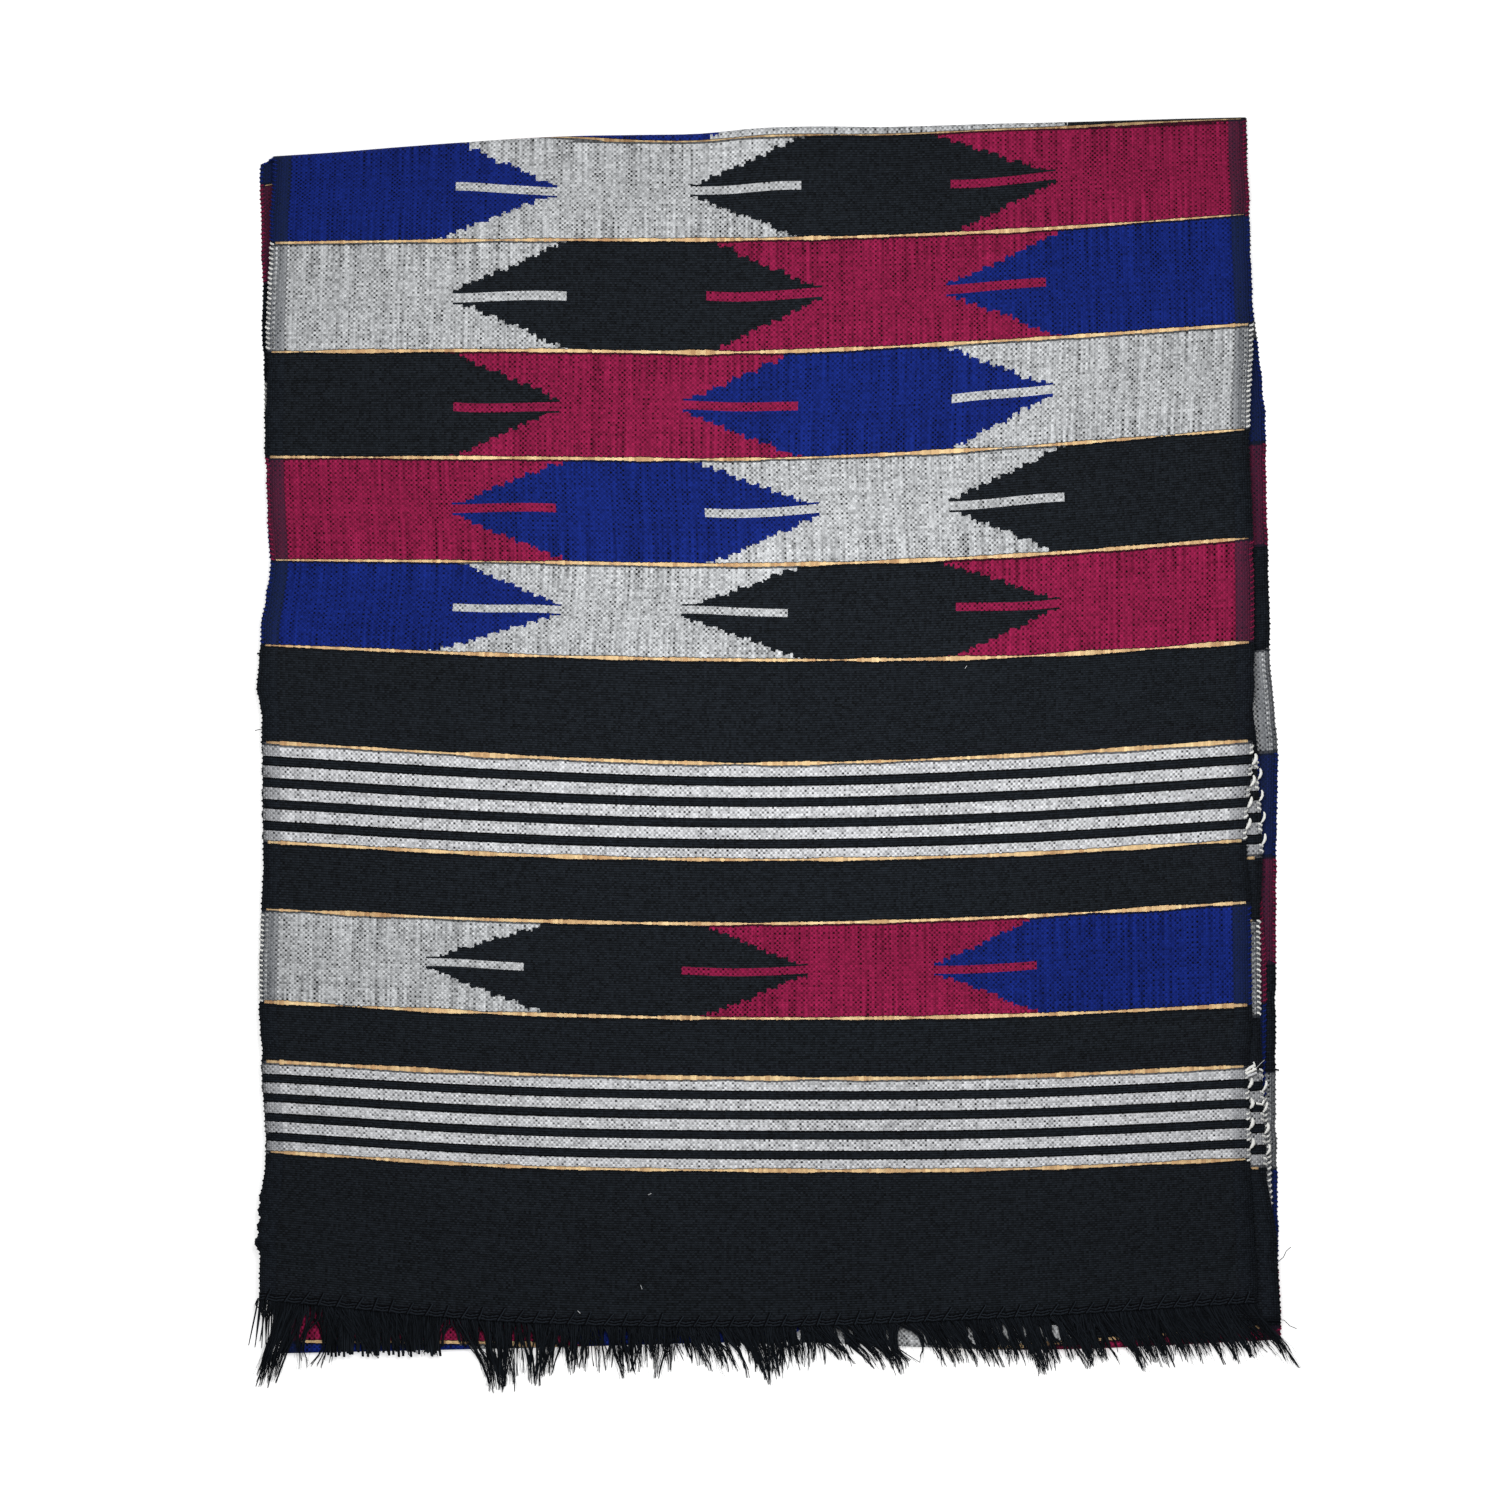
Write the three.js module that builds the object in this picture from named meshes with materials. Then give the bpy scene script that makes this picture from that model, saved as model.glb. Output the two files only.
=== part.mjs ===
// A handwoven cotton shawl, folded in four along its length and lying flat, with a cut fringe at both ends.
// Millimetres, +Z up, +X across the cloth, +Y towards the top fold. The floor is z = 0.
import * as THREE from 'three';

// The cloth and how it is stacked
const THICKNESS = 1.4;
const LAYER_PITCH = 2.0;
const PIECE_GAP = 0.3;

// Levels of the four layers, counted up from the floor
const FLOOR_LEVEL = 0;
const SECOND_LEVEL = 1;
const THIRD_LEVEL = 2;
const TOP_LEVEL = 3;

// How far each turn bulges past the flat stretches that it joins
const OUTER_TURN_REACH = 3.0;
const LOWER_TURN_REACH = 1.6;
const INNER_TURN_REACH = 1.6;
const INNER_FOLD_INSET = 5.0;

// Steps of the section and across the width
const COLUMNS = 16;
const OUTER_TURN_STEPS = 8;
const SMALL_TURN_STEPS = 5;

// The fringe: a narrow strip beside the cloth's end, and its strands
const STRIP_WIDTH = 3.0;
const STRAND_WIDTH = 1.3;
const TIP_WIDTH = 0.9;
const TIP_HEIGHT = 0.9;
const TOP_STRANDS = 100;
const UNDER_LANES = { first: 1, last: 50, step: 2 };
const OVER_FOLD_HEIGHT = 4.0;
const FOLD_LEAD = 1.5;
const DESCENT_RUN = 1.8;
const DESCENT_HEIGHT = 2.0;
const FLOOR_RUN = 6.0;
const LEAST_FLOOR_REACH = 8.0;
const SHORT_END = 2.0;
const STRIP_CLEARANCE = 0.8;
const TIP_UNEVENNESS = 3.0;

const COTTON = { color: 0x1b1e22, roughness: 0.95, metalness: 0 };

// Each row is a line across one layer: where its two edges are, and its place at five even stations,
// because the lines bow. The rows go the way the cloth goes, from the fringed end on top to the one below.
const TOP_LAYER = [
  { line: 'upper fringed end', left: -261.3, right: 243.7, y: [-275.2, -286.3, -288.9, -284.3, -276.7] },
  { line: 'lower stripes begin', left: -256.8, right: 239.6, y: [-201.0, -208.3, -210.3, -209.6, -204.5] },
  { line: 'lower stripes end', left: -258.8, right: 238.6, y: [-154.5, -160.8, -163.1, -162.4, -157.1] },
  { line: 'single band begins', left: -260.3, right: 239.6, y: [-125.2, -130.8, -133.1, -131.8, -126.3] },
  { line: 'single band ends', left: -259.3, right: 238.1, y: [-77.8, -83.3, -85.1, -81.8, -74.2] },
  { line: 'upper stripes begin', left: -258.3, right: 237.6, y: [-44.4, -50.5, -53.0, -50.5, -43.4] },
  { line: 'upper stripes end', left: -258.8, right: 239.6, y: [6.6, 0.0, -3.5, 0.0, 7.1] },
  { line: 'first band', left: -259.3, right: 242.1, y: [55.6, 50.5, 48.0, 49.5, 57.1] },
  { line: 'second band', left: -254.8, right: 241.6, y: [98.5, 97.5, 96.0, 100.5, 109.6] },
  { line: 'third band', left: -256.8, right: 239.6, y: [150.5, 150.0, 149.5, 155.0, 164.6] },
  { line: 'fourth band', left: -256.3, right: 241.6, y: [203.5, 204.3, 203.5, 209.3, 217.7] },
  { line: 'fifth band', left: -254.8, right: 239.6, y: [258.6, 260.1, 260.6, 264.6, 273.2] },
  { line: 'top fold', left: -252.8, right: 238.1, y: [301.5, 311.1, 314.6, 318.4, 321.7] },
];
const FLOOR_LAYER = [
  { line: 'top fold below', left: -259.3, right: 238.6, y: [301.5, 311.1, 314.6, 318.4, 321.7] },
  { line: 'upper part', left: -259.3, right: 240.1, y: [238.0, 240.5, 241.0, 245.0, 254.0] },
  { line: 'ninth band', left: -256.8, right: 247.7, y: [141.4, 141.4, 140.5, 147.5, 158.1] },
  { line: 'middle', left: -252.5, right: 250.2, y: [43.0, 39.5, 38.0, 43.5, 53.5] },
  { line: 'thirteenth band', left: -251.0, right: 252.2, y: [-57.0, -62.0, -64.0, -60.0, -51.5] },
  { line: 'lower part', left: -250.5, right: 253.2, y: [-160.0, -166.0, -168.5, -164.0, -155.5] },
  { line: 'seventeenth band', left: -250.0, right: 254.8, y: [-262.0, -270.0, -272.0, -268.0, -259.0] },
  { line: 'lower fold', left: -249.7, right: 255.8, y: [-303.0, -299.0, -295.4, -300.0, -294.4] },
];
const SECOND_LAYER = [
  { line: 'lower fold above', left: -249.7, right: 255.8, y: [-303.0, -299.0, -295.4, -300.0, -294.4] },
  { line: 'lower part', left: -250.0, right: 246.0, y: [-201.0, -207.0, -209.0, -206.0, -200.0] },
  { line: 'middle', left: -250.5, right: 240.0, y: [0.0, -4.0, -6.0, -2.0, 4.0] },
  { line: 'upper part', left: -250.0, right: 236.0, y: [180.0, 180.0, 180.0, 186.0, 194.0] },
  { line: 'inner fold', left: -249.0, right: 235.0, y: [301.5, 311.1, 314.6, 318.4, 321.7] },
];
const THIRD_LAYER = [
  { line: 'inner fold above', left: -249.0, right: 235.0, y: [301.5, 311.1, 314.6, 318.4, 321.7] },
  { line: 'upper part', left: -250.0, right: 235.5, y: [180.0, 180.0, 180.0, 184.0, 190.0] },
  { line: 'bands end', left: -251.0, right: 238.0, y: [52.0, 47.0, 45.0, 45.0, 50.5] },
  { line: 'first stripes begin', left: -252.3, right: 244.2, y: [2.0, -4.0, -7.0, -6.0, -1.0] },
  { line: 'first stripes end', left: -252.3, right: 246.7, y: [-48.0, -54.0, -57.0, -56.0, -52.0] },
  { line: 'single band begins', left: -252.3, right: 244.2, y: [-80.0, -86.0, -89.0, -88.0, -83.3] },
  { line: 'single band ends', left: -252.3, right: 243.2, y: [-127.0, -133.0, -136.0, -136.0, -132.8] },
  { line: 'last stripes begin', left: -252.3, right: 247.2, y: [-156.0, -162.0, -165.0, -164.0, -159.1] },
  { line: 'last stripes end', left: -252.3, right: 248.7, y: [-202.0, -208.0, -211.0, -211.5, -208.6] },
  { line: 'plain end part', left: -252.3, right: 254.3, y: [-240.0, -247.0, -249.0, -248.0, -250.0] },
  { line: 'under fringed end', left: -252.3, right: 255.8, y: [-272.0, -282.0, -284.0, -282.0, -286.3] },
];

// Soft swellings of the stack, full at the top layer and none at the floor
const SWELLS = [
  { x: -150, y: 190, height: 0.9, spread: 90 },
  { x: 60, y: 120, height: 0.7, spread: 110 },
  { x: 170, y: -40, height: 0.9, spread: 80 },
  { x: -70, y: -120, height: 0.8, spread: 100 },
  { x: 120, y: 240, height: 0.6, spread: 60 },
];
const SWELL_FREE_END = 55;

// The fringe across the width, from the left edge at 0 to the right edge at 1: how much its strands lean
// to the right for each millimetre down, and how far down the tips reach
const FRINGE_LINES = [
  { across: 0.0, lean: -0.16, tip: -320.0 },
  { across: 0.03, lean: -0.3, tip: -318.0 },
  { across: 0.08, lean: -0.38, tip: -313.5 },
  { across: 0.13, lean: -0.25, tip: -306.5 },
  { across: 0.2, lean: -0.1, tip: -303.0 },
  { across: 0.235, lean: 0.0, tip: -321.0 },
  { across: 0.27, lean: 0.05, tip: -312.0 },
  { across: 0.36, lean: 0.12, tip: -313.5 },
  { across: 0.45, lean: 0.15, tip: -311.0 },
  { across: 0.51, lean: 0.12, tip: -316.5 },
  { across: 0.6, lean: 0.3, tip: -310.5 },
  { across: 0.7, lean: 0.5, tip: -308.5 },
  { across: 0.77, lean: 0.58, tip: -314.0 },
  { across: 0.86, lean: 0.62, tip: -309.0 },
  { across: 0.94, lean: 0.66, tip: -308.0 },
  { across: 1.0, lean: 0.6, tip: -307.5 },
  { across: 1.06, lean: 0.3, tip: -306.5 },
];

const lerp = THREE.MathUtils.lerp;
const HALF = THICKNESS / 2;

// A smooth curve through five even stations, read at across from 0 to 1
function atStation(values, across) {
  const place = THREE.MathUtils.clamp(across, 0, 1) * (values.length - 1);
  const from = Math.min(Math.floor(place), values.length - 2);
  const t = place - from;
  const value = (index) => {
    if (index < 0) return 2 * values[0] - values[1];
    if (index >= values.length) return 2 * values.at(-1) - values.at(-2);
    return values[index];
  };
  const [a, b, c, d] = [value(from - 1), value(from), value(from + 1), value(from + 2)];
  const slopeB = (c - a) / 2;
  const slopeC = (d - b) / 2;
  const rise = c - b;
  return b + t * (slopeB + t * (3 * rise - 2 * slopeB - slopeC + t * (slopeB + slopeC - 2 * rise)));
}

function swell(x, y) {
  const fromEnds = Math.min(y - TOP_LAYER[0].y[2], TOP_LAYER.at(-1).y[0] - y);
  const fade = THREE.MathUtils.smoothstep(fromEnds, 0, SWELL_FREE_END);
  const raised = SWELLS.map((bump) => {
    const distance = Math.hypot(x - bump.x, y - bump.y) / bump.spread;
    return bump.height * Math.exp(-distance * distance);
  });
  return fade * raised.reduce((sum, height) => sum + height, 0);
}

const heightAt = (level, x, y) => HALF + level * LAYER_PITCH + swell(x, y) * level / TOP_LEVEL;

// A row halfway between two others, or at any share between them
function between(one, other, share) {
  return {
    left: lerp(one.left, other.left, share),
    right: lerp(one.right, other.right, share),
    y: one.y.map((value, station) => lerp(value, other.y[station], share)),
  };
}

const moved = (row, distance) => ({ ...row, y: row.y.map((value) => value + distance) });

// The rows of one flat layer, each gap between its lines split in two, with the side that its face looks to
function flatRows(lines, level, faceAngle) {
  const rows = lines.flatMap((line, index) =>
    index === 0 ? [line] : [between(lines[index - 1], line, 0.5), line]);
  return rows.map((row) => ({ ...row, level, faceAngle }));
}

// The rows of one turn, from one flat layer to the next. The sense is +1 at a top fold and -1 at the lower one.
function turnRows(before, after, reach, sense, facesOut, steps) {
  const rows = [];
  for (let step = 1; step < steps; step += 1) {
    const share = step / steps;
    const climb = Math.sign(after.level - before.level);
    const angle = climb * (share - 0.5) * Math.PI;
    const row = moved(between(before, after, share), sense * reach * Math.cos(angle));
    const level = (before.level + after.level) / 2 + Math.abs(after.level - before.level) / 2 * Math.sin(angle);
    const outward = Math.atan2(Math.sin(angle), sense * Math.cos(angle));
    rows.push({ ...row, level, faceAngle: facesOut ? outward : outward + Math.PI });
  }
  return rows;
}

// The whole section of the cloth, from the fringed end on top to the one below
function foldedRows() {
  const up = Math.PI / 2;
  const foldBack = (lines, index, distance) =>
    lines.map((line, place) => (place === index ? moved(line, distance) : line));
  const outer = -(OUTER_TURN_REACH + HALF);
  const lower = LOWER_TURN_REACH + HALF;
  const inner = -(INNER_TURN_REACH + HALF + INNER_FOLD_INSET);
  const top = flatRows(foldBack(TOP_LAYER, TOP_LAYER.length - 1, outer), TOP_LEVEL, up);
  const floorLines = foldBack(foldBack(FLOOR_LAYER, 0, outer), FLOOR_LAYER.length - 1, lower);
  const floor = flatRows(floorLines, FLOOR_LEVEL, -up);
  const secondLines = foldBack(foldBack(SECOND_LAYER, 0, lower), SECOND_LAYER.length - 1, inner);
  const second = flatRows(secondLines, SECOND_LEVEL, up);
  const third = flatRows(foldBack(THIRD_LAYER, 0, inner), THIRD_LEVEL, -up);
  return [
    ...top,
    ...turnRows(top.at(-1), floor[0], OUTER_TURN_REACH, 1, true, OUTER_TURN_STEPS),
    ...floor,
    ...turnRows(floor.at(-1), second[0], LOWER_TURN_REACH, -1, true, SMALL_TURN_STEPS),
    ...second,
    ...turnRows(second.at(-1), third[0], INNER_TURN_REACH, 1, false, SMALL_TURN_STEPS),
    ...third,
  ];
}

// A closed body from points and triangles, turned so that its faces point out
function closedBody(points, triangles) {
  const volume = triangles.reduce((sum, [a, b, c]) =>
    sum + points[a].dot(new THREE.Vector3().crossVectors(points[b], points[c])), 0);
  const outward = volume > 0 ? triangles : triangles.map(([a, b, c]) => [a, c, b]);
  const geometry = new THREE.BufferGeometry().setFromPoints(points);
  geometry.setIndex(outward.flat());
  geometry.computeVertexNormals();
  return geometry;
}

function named(name, geometry) {
  const mesh = new THREE.Mesh(geometry, new THREE.MeshStandardMaterial(COTTON));
  mesh.name = name;
  return mesh;
}

// The cloth: a face and a back half its thickness either side of the folded rows, closed round the rim
function cloth() {
  const rows = foldedRows();
  const wide = COLUMNS + 1;
  const points = [];
  for (const side of [HALF, -HALF]) {
    for (const row of rows) {
      for (let column = 0; column < wide; column += 1) {
        const across = column / COLUMNS;
        const x = lerp(row.left, row.right, across);
        const y = atStation(row.y, across);
        const z = heightAt(row.level, x, y);
        const reach = side * Math.cos(row.faceAngle);
        const rise = side * Math.sin(row.faceAngle);
        points.push(new THREE.Vector3(x, y + reach, z + rise));
      }
    }
  }
  const back = rows.length * wide;
  const triangles = [];
  const quad = (a, b, c, d) => triangles.push([a, b, c], [a, c, d]);
  for (let row = 0; row + 1 < rows.length; row += 1) {
    for (let column = 0; column < COLUMNS; column += 1) {
      const corner = row * wide + column;
      quad(corner, corner + 1, corner + wide + 1, corner + wide);
      quad(back + corner, back + corner + wide, back + corner + wide + 1, back + corner + 1);
    }
    const first = row * wide;
    const last = first + COLUMNS;
    quad(first, first + wide, back + first + wide, back + first);
    quad(last, back + last, back + last + wide, last + wide);
  }
  const finish = (rows.length - 1) * wide;
  for (let column = 0; column < COLUMNS; column += 1) {
    quad(column, back + column, back + column + 1, column + 1);
    quad(finish + column, finish + column + 1, back + finish + column + 1, back + finish + column);
  }
  return named('cloth', closedBody(points, triangles));
}

// An uneven share from 0 to 1 that is the same each time for the same strand
function uneven(strand, kind) {
  const wave = Math.sin(strand * 12.9898 + kind * 78.233) * 43758.5453;
  return wave - Math.floor(wave);
}

function fringeAt(across, column) {
  const after = FRINGE_LINES.findIndex((entry) => entry.across >= across);
  if (after === 0) return FRINGE_LINES[0][column];
  if (after < 0) return FRINGE_LINES.at(-1)[column];
  const [one, other] = [FRINGE_LINES[after - 1], FRINGE_LINES[after]];
  return lerp(one[column], other[column], (across - one.across) / (other.across - one.across));
}

// Every strand keeps to its own lane: a slanting line that starts at the upper end of the cloth
function laneX(across, y) {
  const end = TOP_LAYER[0];
  return lerp(end.left, end.right, across) + fringeAt(across, 'lean') * (atStation(end.y, across) - y);
}

const shareAcross = (row, x) => (x - row.left) / (row.right - row.left);

// One strand's rings, from its root on the strip, over the lower layers and the lower fold, to the floor
function strandRings(across, strand, root) {
  const fold = FLOOR_LAYER.at(-1);
  const foldY = atStation(fold.y, shareAcross(fold, laneX(across, root.y)));
  const tipY = fringeAt(across, 'tip') + TIP_UNEVENNESS * uneven(strand, 1);
  const reachesFloor = foldY - tipY > LEAST_FLOOR_REACH;
  const body = { width: STRAND_WIDTH, height: THICKNESS };
  const tip = { width: TIP_WIDTH, height: TIP_HEIGHT };
  const rings = [{ y: root.y, z: root.z, ...body }];
  if (root.clearY < root.y) {
    rings.push({ y: root.clearY, z: root.clearZ, ...body });
  }
  if (!reachesFloor) {
    rings.push({ y: foldY + SHORT_END, z: OVER_FOLD_HEIGHT, ...tip });
  } else {
    rings.push({ y: foldY + FOLD_LEAD, z: OVER_FOLD_HEIGHT, ...body });
    rings.push({ y: foldY - DESCENT_RUN, z: DESCENT_HEIGHT, ...tip });
    rings.push({ y: foldY - FLOOR_RUN, z: 0, ...tip });
    rings.push({ y: tipY, z: 0, ...tip });
  }
  return rings.map((ring) => ({ ...ring, x: laneX(across, ring.y) }));
}

// A narrow strip just off the cloth's end with one three-sided strand for each lane, all one body
function fringe(name, end, level, lanes, clearing) {
  const points = [];
  const triangles = [];
  const add = (x, y, z) => points.push(new THREE.Vector3(x, y, z)) - 1;
  const cells = lanes.map(({ across, strand }) => {
    const endY = atStation(end.y, shareAcross(end, laneX(across, atStation(end.y, across))));
    const backY = endY - PIECE_GAP;
    const frontY = backY - STRIP_WIDTH;
    const x = laneX(across, frontY);
    const lower = heightAt(level, x, frontY) - HALF;
    const root = { y: frontY, z: lower, ...clearing(across, frontY, lower) };
    const rings = strandRings(across, strand, root).map((ring) => [
      add(ring.x - ring.width / 2, ring.y, ring.z),
      add(ring.x + ring.width / 2, ring.y, ring.z),
      add(ring.x, ring.y, ring.z + ring.height),
    ]);
    const back = [add(x, backY, lower), add(x, backY, lower + THICKNESS)];
    return { rings, root: rings[0], back };
  });
  for (const { rings } of cells) {
    for (let ring = 0; ring + 1 < rings.length; ring += 1) {
      for (let side = 0; side < 3; side += 1) {
        const next = (side + 1) % 3;
        const [a, b] = [rings[ring][side], rings[ring][next]];
        const [c, d] = [rings[ring + 1][side], rings[ring + 1][next]];
        triangles.push([a, c, d], [a, d, b]);
      }
    }
    const [a, b, c] = rings.at(-1);
    triangles.push([a, c, b]);
  }
  cells.forEach(({ root: [left, right, crest], back: [low, high] }, index) => {
    triangles.push([left, right, low]);
    if (index + 1 === cells.length) return;
    const { root: [nextLeft, , nextCrest], back: [nextLow, nextHigh] } = cells[index + 1];
    triangles.push([right, nextLeft, low], [nextLeft, nextLow, low]);
    triangles.push([right, crest, nextLeft], [crest, nextCrest, nextLeft]);
    triangles.push([crest, high, nextHigh], [crest, nextHigh, nextCrest]);
    triangles.push([low, nextLow, nextHigh], [low, nextHigh, high]);
  });
  const { root: [firstLeft, , firstCrest], back: [firstLow, firstHigh] } = cells[0];
  const { root: [, lastRight, lastCrest], back: [lastLow, lastHigh] } = cells.at(-1);
  triangles.push([firstLeft, firstLow, firstHigh], [firstLeft, firstHigh, firstCrest]);
  triangles.push([lastRight, lastHigh, lastLow], [lastRight, lastCrest, lastHigh]);
  return named(name, closedBody(points, triangles));
}

function upperFringe() {
  const under = THIRD_LAYER.at(-1);
  const lanes = Array.from({ length: TOP_STRANDS }, (_, strand) =>
    ({ strand, across: (strand + 0.5) / TOP_STRANDS }));
  // Where the layer below reaches further down, the strands stay over it until its own strip ends
  const clearing = (across, frontY, lower) => {
    const underY = atStation(under.y, shareAcross(under, laneX(across, frontY)));
    const stripEnd = underY - PIECE_GAP - STRIP_WIDTH;
    return { clearY: stripEnd - STRIP_CLEARANCE, clearZ: lower - PIECE_GAP };
  };
  return fringe('fringe_top', TOP_LAYER[0], TOP_LEVEL, lanes, clearing);
}

function underFringe() {
  const lanes = [];
  for (let lane = UNDER_LANES.first; lane <= UNDER_LANES.last; lane += 1) {
    lanes.push({ strand: TOP_STRANDS + lane, across: (UNDER_LANES.step * lane + 1) / TOP_STRANDS });
  }
  const clearing = (across, frontY) => ({ clearY: frontY });
  return fringe('fringe_under', THIRD_LAYER.at(-1), THIRD_LEVEL, lanes, clearing);
}

const shawl = new THREE.Group();
shawl.name = 'folded_shawl';
shawl.add(cloth(), upperFringe(), underFringe());

export default shawl;
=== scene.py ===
import math
import random
from collections import namedtuple

import bpy
import numpy as np
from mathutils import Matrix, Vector, noise


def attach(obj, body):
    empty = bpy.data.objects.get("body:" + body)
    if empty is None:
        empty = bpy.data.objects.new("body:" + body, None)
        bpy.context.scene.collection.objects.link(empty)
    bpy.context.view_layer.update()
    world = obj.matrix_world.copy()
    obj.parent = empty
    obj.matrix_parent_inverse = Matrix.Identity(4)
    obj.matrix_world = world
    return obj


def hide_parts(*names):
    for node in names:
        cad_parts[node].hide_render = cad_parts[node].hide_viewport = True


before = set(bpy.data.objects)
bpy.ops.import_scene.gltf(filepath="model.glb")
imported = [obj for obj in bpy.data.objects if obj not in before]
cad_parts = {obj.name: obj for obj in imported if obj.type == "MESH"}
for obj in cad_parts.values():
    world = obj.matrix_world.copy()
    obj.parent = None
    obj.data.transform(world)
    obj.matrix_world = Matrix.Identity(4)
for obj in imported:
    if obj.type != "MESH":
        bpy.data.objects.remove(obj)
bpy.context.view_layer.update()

MM = 0.001
SEED = 11

# The stack, as the solids have it
THICKNESS = 1.4
HALF = THICKNESS / 2
LAYER_PITCH = 2.0
FLOOR_LEVEL, SECOND_LEVEL, THIRD_LEVEL, TOP_LEVEL = 0, 1, 2, 3
OUTER_TURN_REACH = 3.0
LOWER_TURN_REACH = 1.6
INNER_TURN_REACH = 1.6
INNER_FOLD_INSET = 5.0

# The steps of the cloth's mesh
COLUMNS = 64
TOP_STEP, OTHER_STEP, HIDDEN_STEP = 2.0, 4.0, 12.0
OUTER_TURN_STEPS = 12
SMALL_TURN_STEPS = 8

# The weave, in millimetres on the flat cloth
CLOTH_WIDTH = 500.0
WEFT_PITCH, WARP_PITCH = 1.2, 1.24
SELVEDGE_WIDTH = 9.0
SELVEDGE_RIM = 0.7
SELVEDGE_LOOP_PITCH = 2.6
BEADS_BEGIN, BEADS_END = 2.4, 4.0

# The sections of the pattern: lozenge bands one after another, and towards either end of the cloth a lone
# lozenge band between two sections of stripes. The plain ends have no gold lines.
BANDS = 34
LONE_BANDS = (-4, BANDS + 3)
STRIPED = (-6, -2, BANDS + 1, BANDS + 5)
LAST_GOLD = 6.5
TOP_FOLD_LINE = 5

# The stripes of a section: one white and one black make a cycle, whose height is a share of the section
STRIPES = 9
STRIPE_CYCLE = 0.216
WHITE_SHARE = 0.54
LAST_WHITE = 1 - STRIPE_CYCLE / 8
STRIPE_RAGGED = 0.018
# How far into each black stripe, as a share of a cycle, the painted shade along its edges reaches
STRIPE_SHADE = 0.075

# The stepped borders of a lozenge band and the slits in their points, in millimetres. In a lone band the
# points and the slits lie a little differently.
BAND_HEIGHT = 53.5
STEP_ACROSS, STEP_ALONG = 5.3, 2.25
STEP_RAGGED, TOOTH_RAGGED, TIP_UNEVEN = 3.4, 1.5, 5.0
SLIT_HALF, PRONG_HALF = 2.2, 3.2
SLIT_LENGTH, SLIT_UNEVEN, SLIT_WANDER = 55.0, 9.0, 5.5
STEEPEST, SLOPE_UNEVEN = 0.92, 0.2
Border = namedtuple("Border", "number even_tip odd_tip lone_shift lone_slit")
BORDERS = [
    Border(0, 148.0, 93.2, -9.7, -2.0),
    Border(1, 212.5, 282.6, -5.0, 9.0),
    Border(2, 400.0, 344.0, -3.7, 0.0),
]

# The gold lines, with a painted shadow along them that is wider below, and how far from the side edges they
# stop
GOLD_HALF_WIDTH = 0.74
GOLD_UNEVEN, GOLD_RAGGED, GOLD_DASH = 1.9, 0.35, 2.5
GOLD_SHADOW, GOLD_SHADOW_BELOW = 0.35, 0.65
GOLD_FREE_EDGE, GOLD_FREE_INSIDE, GOLD_FREE_UNDER = 2.4, 8.0, 1.5

# Each line across the cloth: the section of the pattern that begins there, the two side edges, and the
# line's place at even stations. Whole sections begin at the gold lines and at the colour changes.
Line = namedtuple("Line", "section left right y")
TOP_FOLD_Y = (
    303.0, 305.0, 307.5, 309.8, 311.9, 313.3, 313.8, 314.4, 317.3, 318.1, 317.8, 318.6, 319.6, 320.2, 321.1,
    322.0, 322.7,
)
LOWER_FOLD_Y = (-303.2, -300.4, -297.6, -301.4, -296.3)
TOP_LAYER = [
    Line(-7, -261.3, 243.7, (-275.2, -286.3, -288.9, -284.3, -276.7)),
    Line(-6, -256.8, 240.4, (-200.1, -207.6, -209.7, -209.1, -204.0)),
    Line(-5, -258.8, 239.4, (-154.5, -160.8, -163.1, -162.4, -157.1)),
    Line(-4, -260.3, 241.0, (-124.6, -130.6, -133.1, -131.8, -126.3)),
    Line(-3, -259.3, 240.4, (-77.8, -83.3, -85.1, -81.8, -74.2)),
    Line(-2, -258.3, 238.2, (-43.9, -50.4, -53.0, -50.6, -43.2)),
    Line(-1, -258.8, 241.6, (6.6, -0.6, -4.4, -0.5, 7.3)),
    Line(0, -259.3, 242.1, (55.6, 50.5, 48.0, 49.5, 57.1)),
    Line(1, -254.8, 241.6, (98.5, 97.5, 96.0, 100.5, 109.6)),
    Line(2, -256.8, 239.6, (150.5, 150.0, 149.5, 155.0, 164.6)),
    Line(3, -256.3, 241.6, (203.5, 204.3, 203.5, 209.3, 217.7)),
    Line(4, -254.8, 239.6, (258.6, 260.1, 260.6, 264.6, 273.2)),
    Line((4.7, 4.95, 5.02, 5.0, 4.98), -252.8, 238.1, TOP_FOLD_Y),
]
FLOOR_LAYER = [
    Line((4.78, 5.03, 5.1, 5.08, 5.06), -260.3, 238.9, TOP_FOLD_Y),
    Line((6.0, 6.25, 6.3, 6.25, 6.2), -259.6, 241.0, (238.0, 240.5, 241.0, 245.0, 254.0)),
    Line(8, -256.8, 248.9, (141.4, 141.4, 140.5, 147.5, 158.1)),
    Line(10, -252.5, 251.0, (43.0, 39.5, 38.0, 43.5, 53.5)),
    Line(11.1, -251.5, 255.0, (-12.0, -16.0, -18.0, -13.5, -4.0)),
    Line(12, -251.0, 254.2, (-57.0, -62.0, -64.0, -60.0, -51.5)),
    Line(14, -250.5, 253.8, (-160.0, -166.0, -168.5, -167.0, -160.5)),
    Line(16, -250.0, 255.3, (-262.0, -270.0, -272.0, -268.0, -259.0)),
    Line((16.84, 16.92, 17.12, 16.91, 16.82), -249.7, 256.3, LOWER_FOLD_Y),
]
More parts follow.
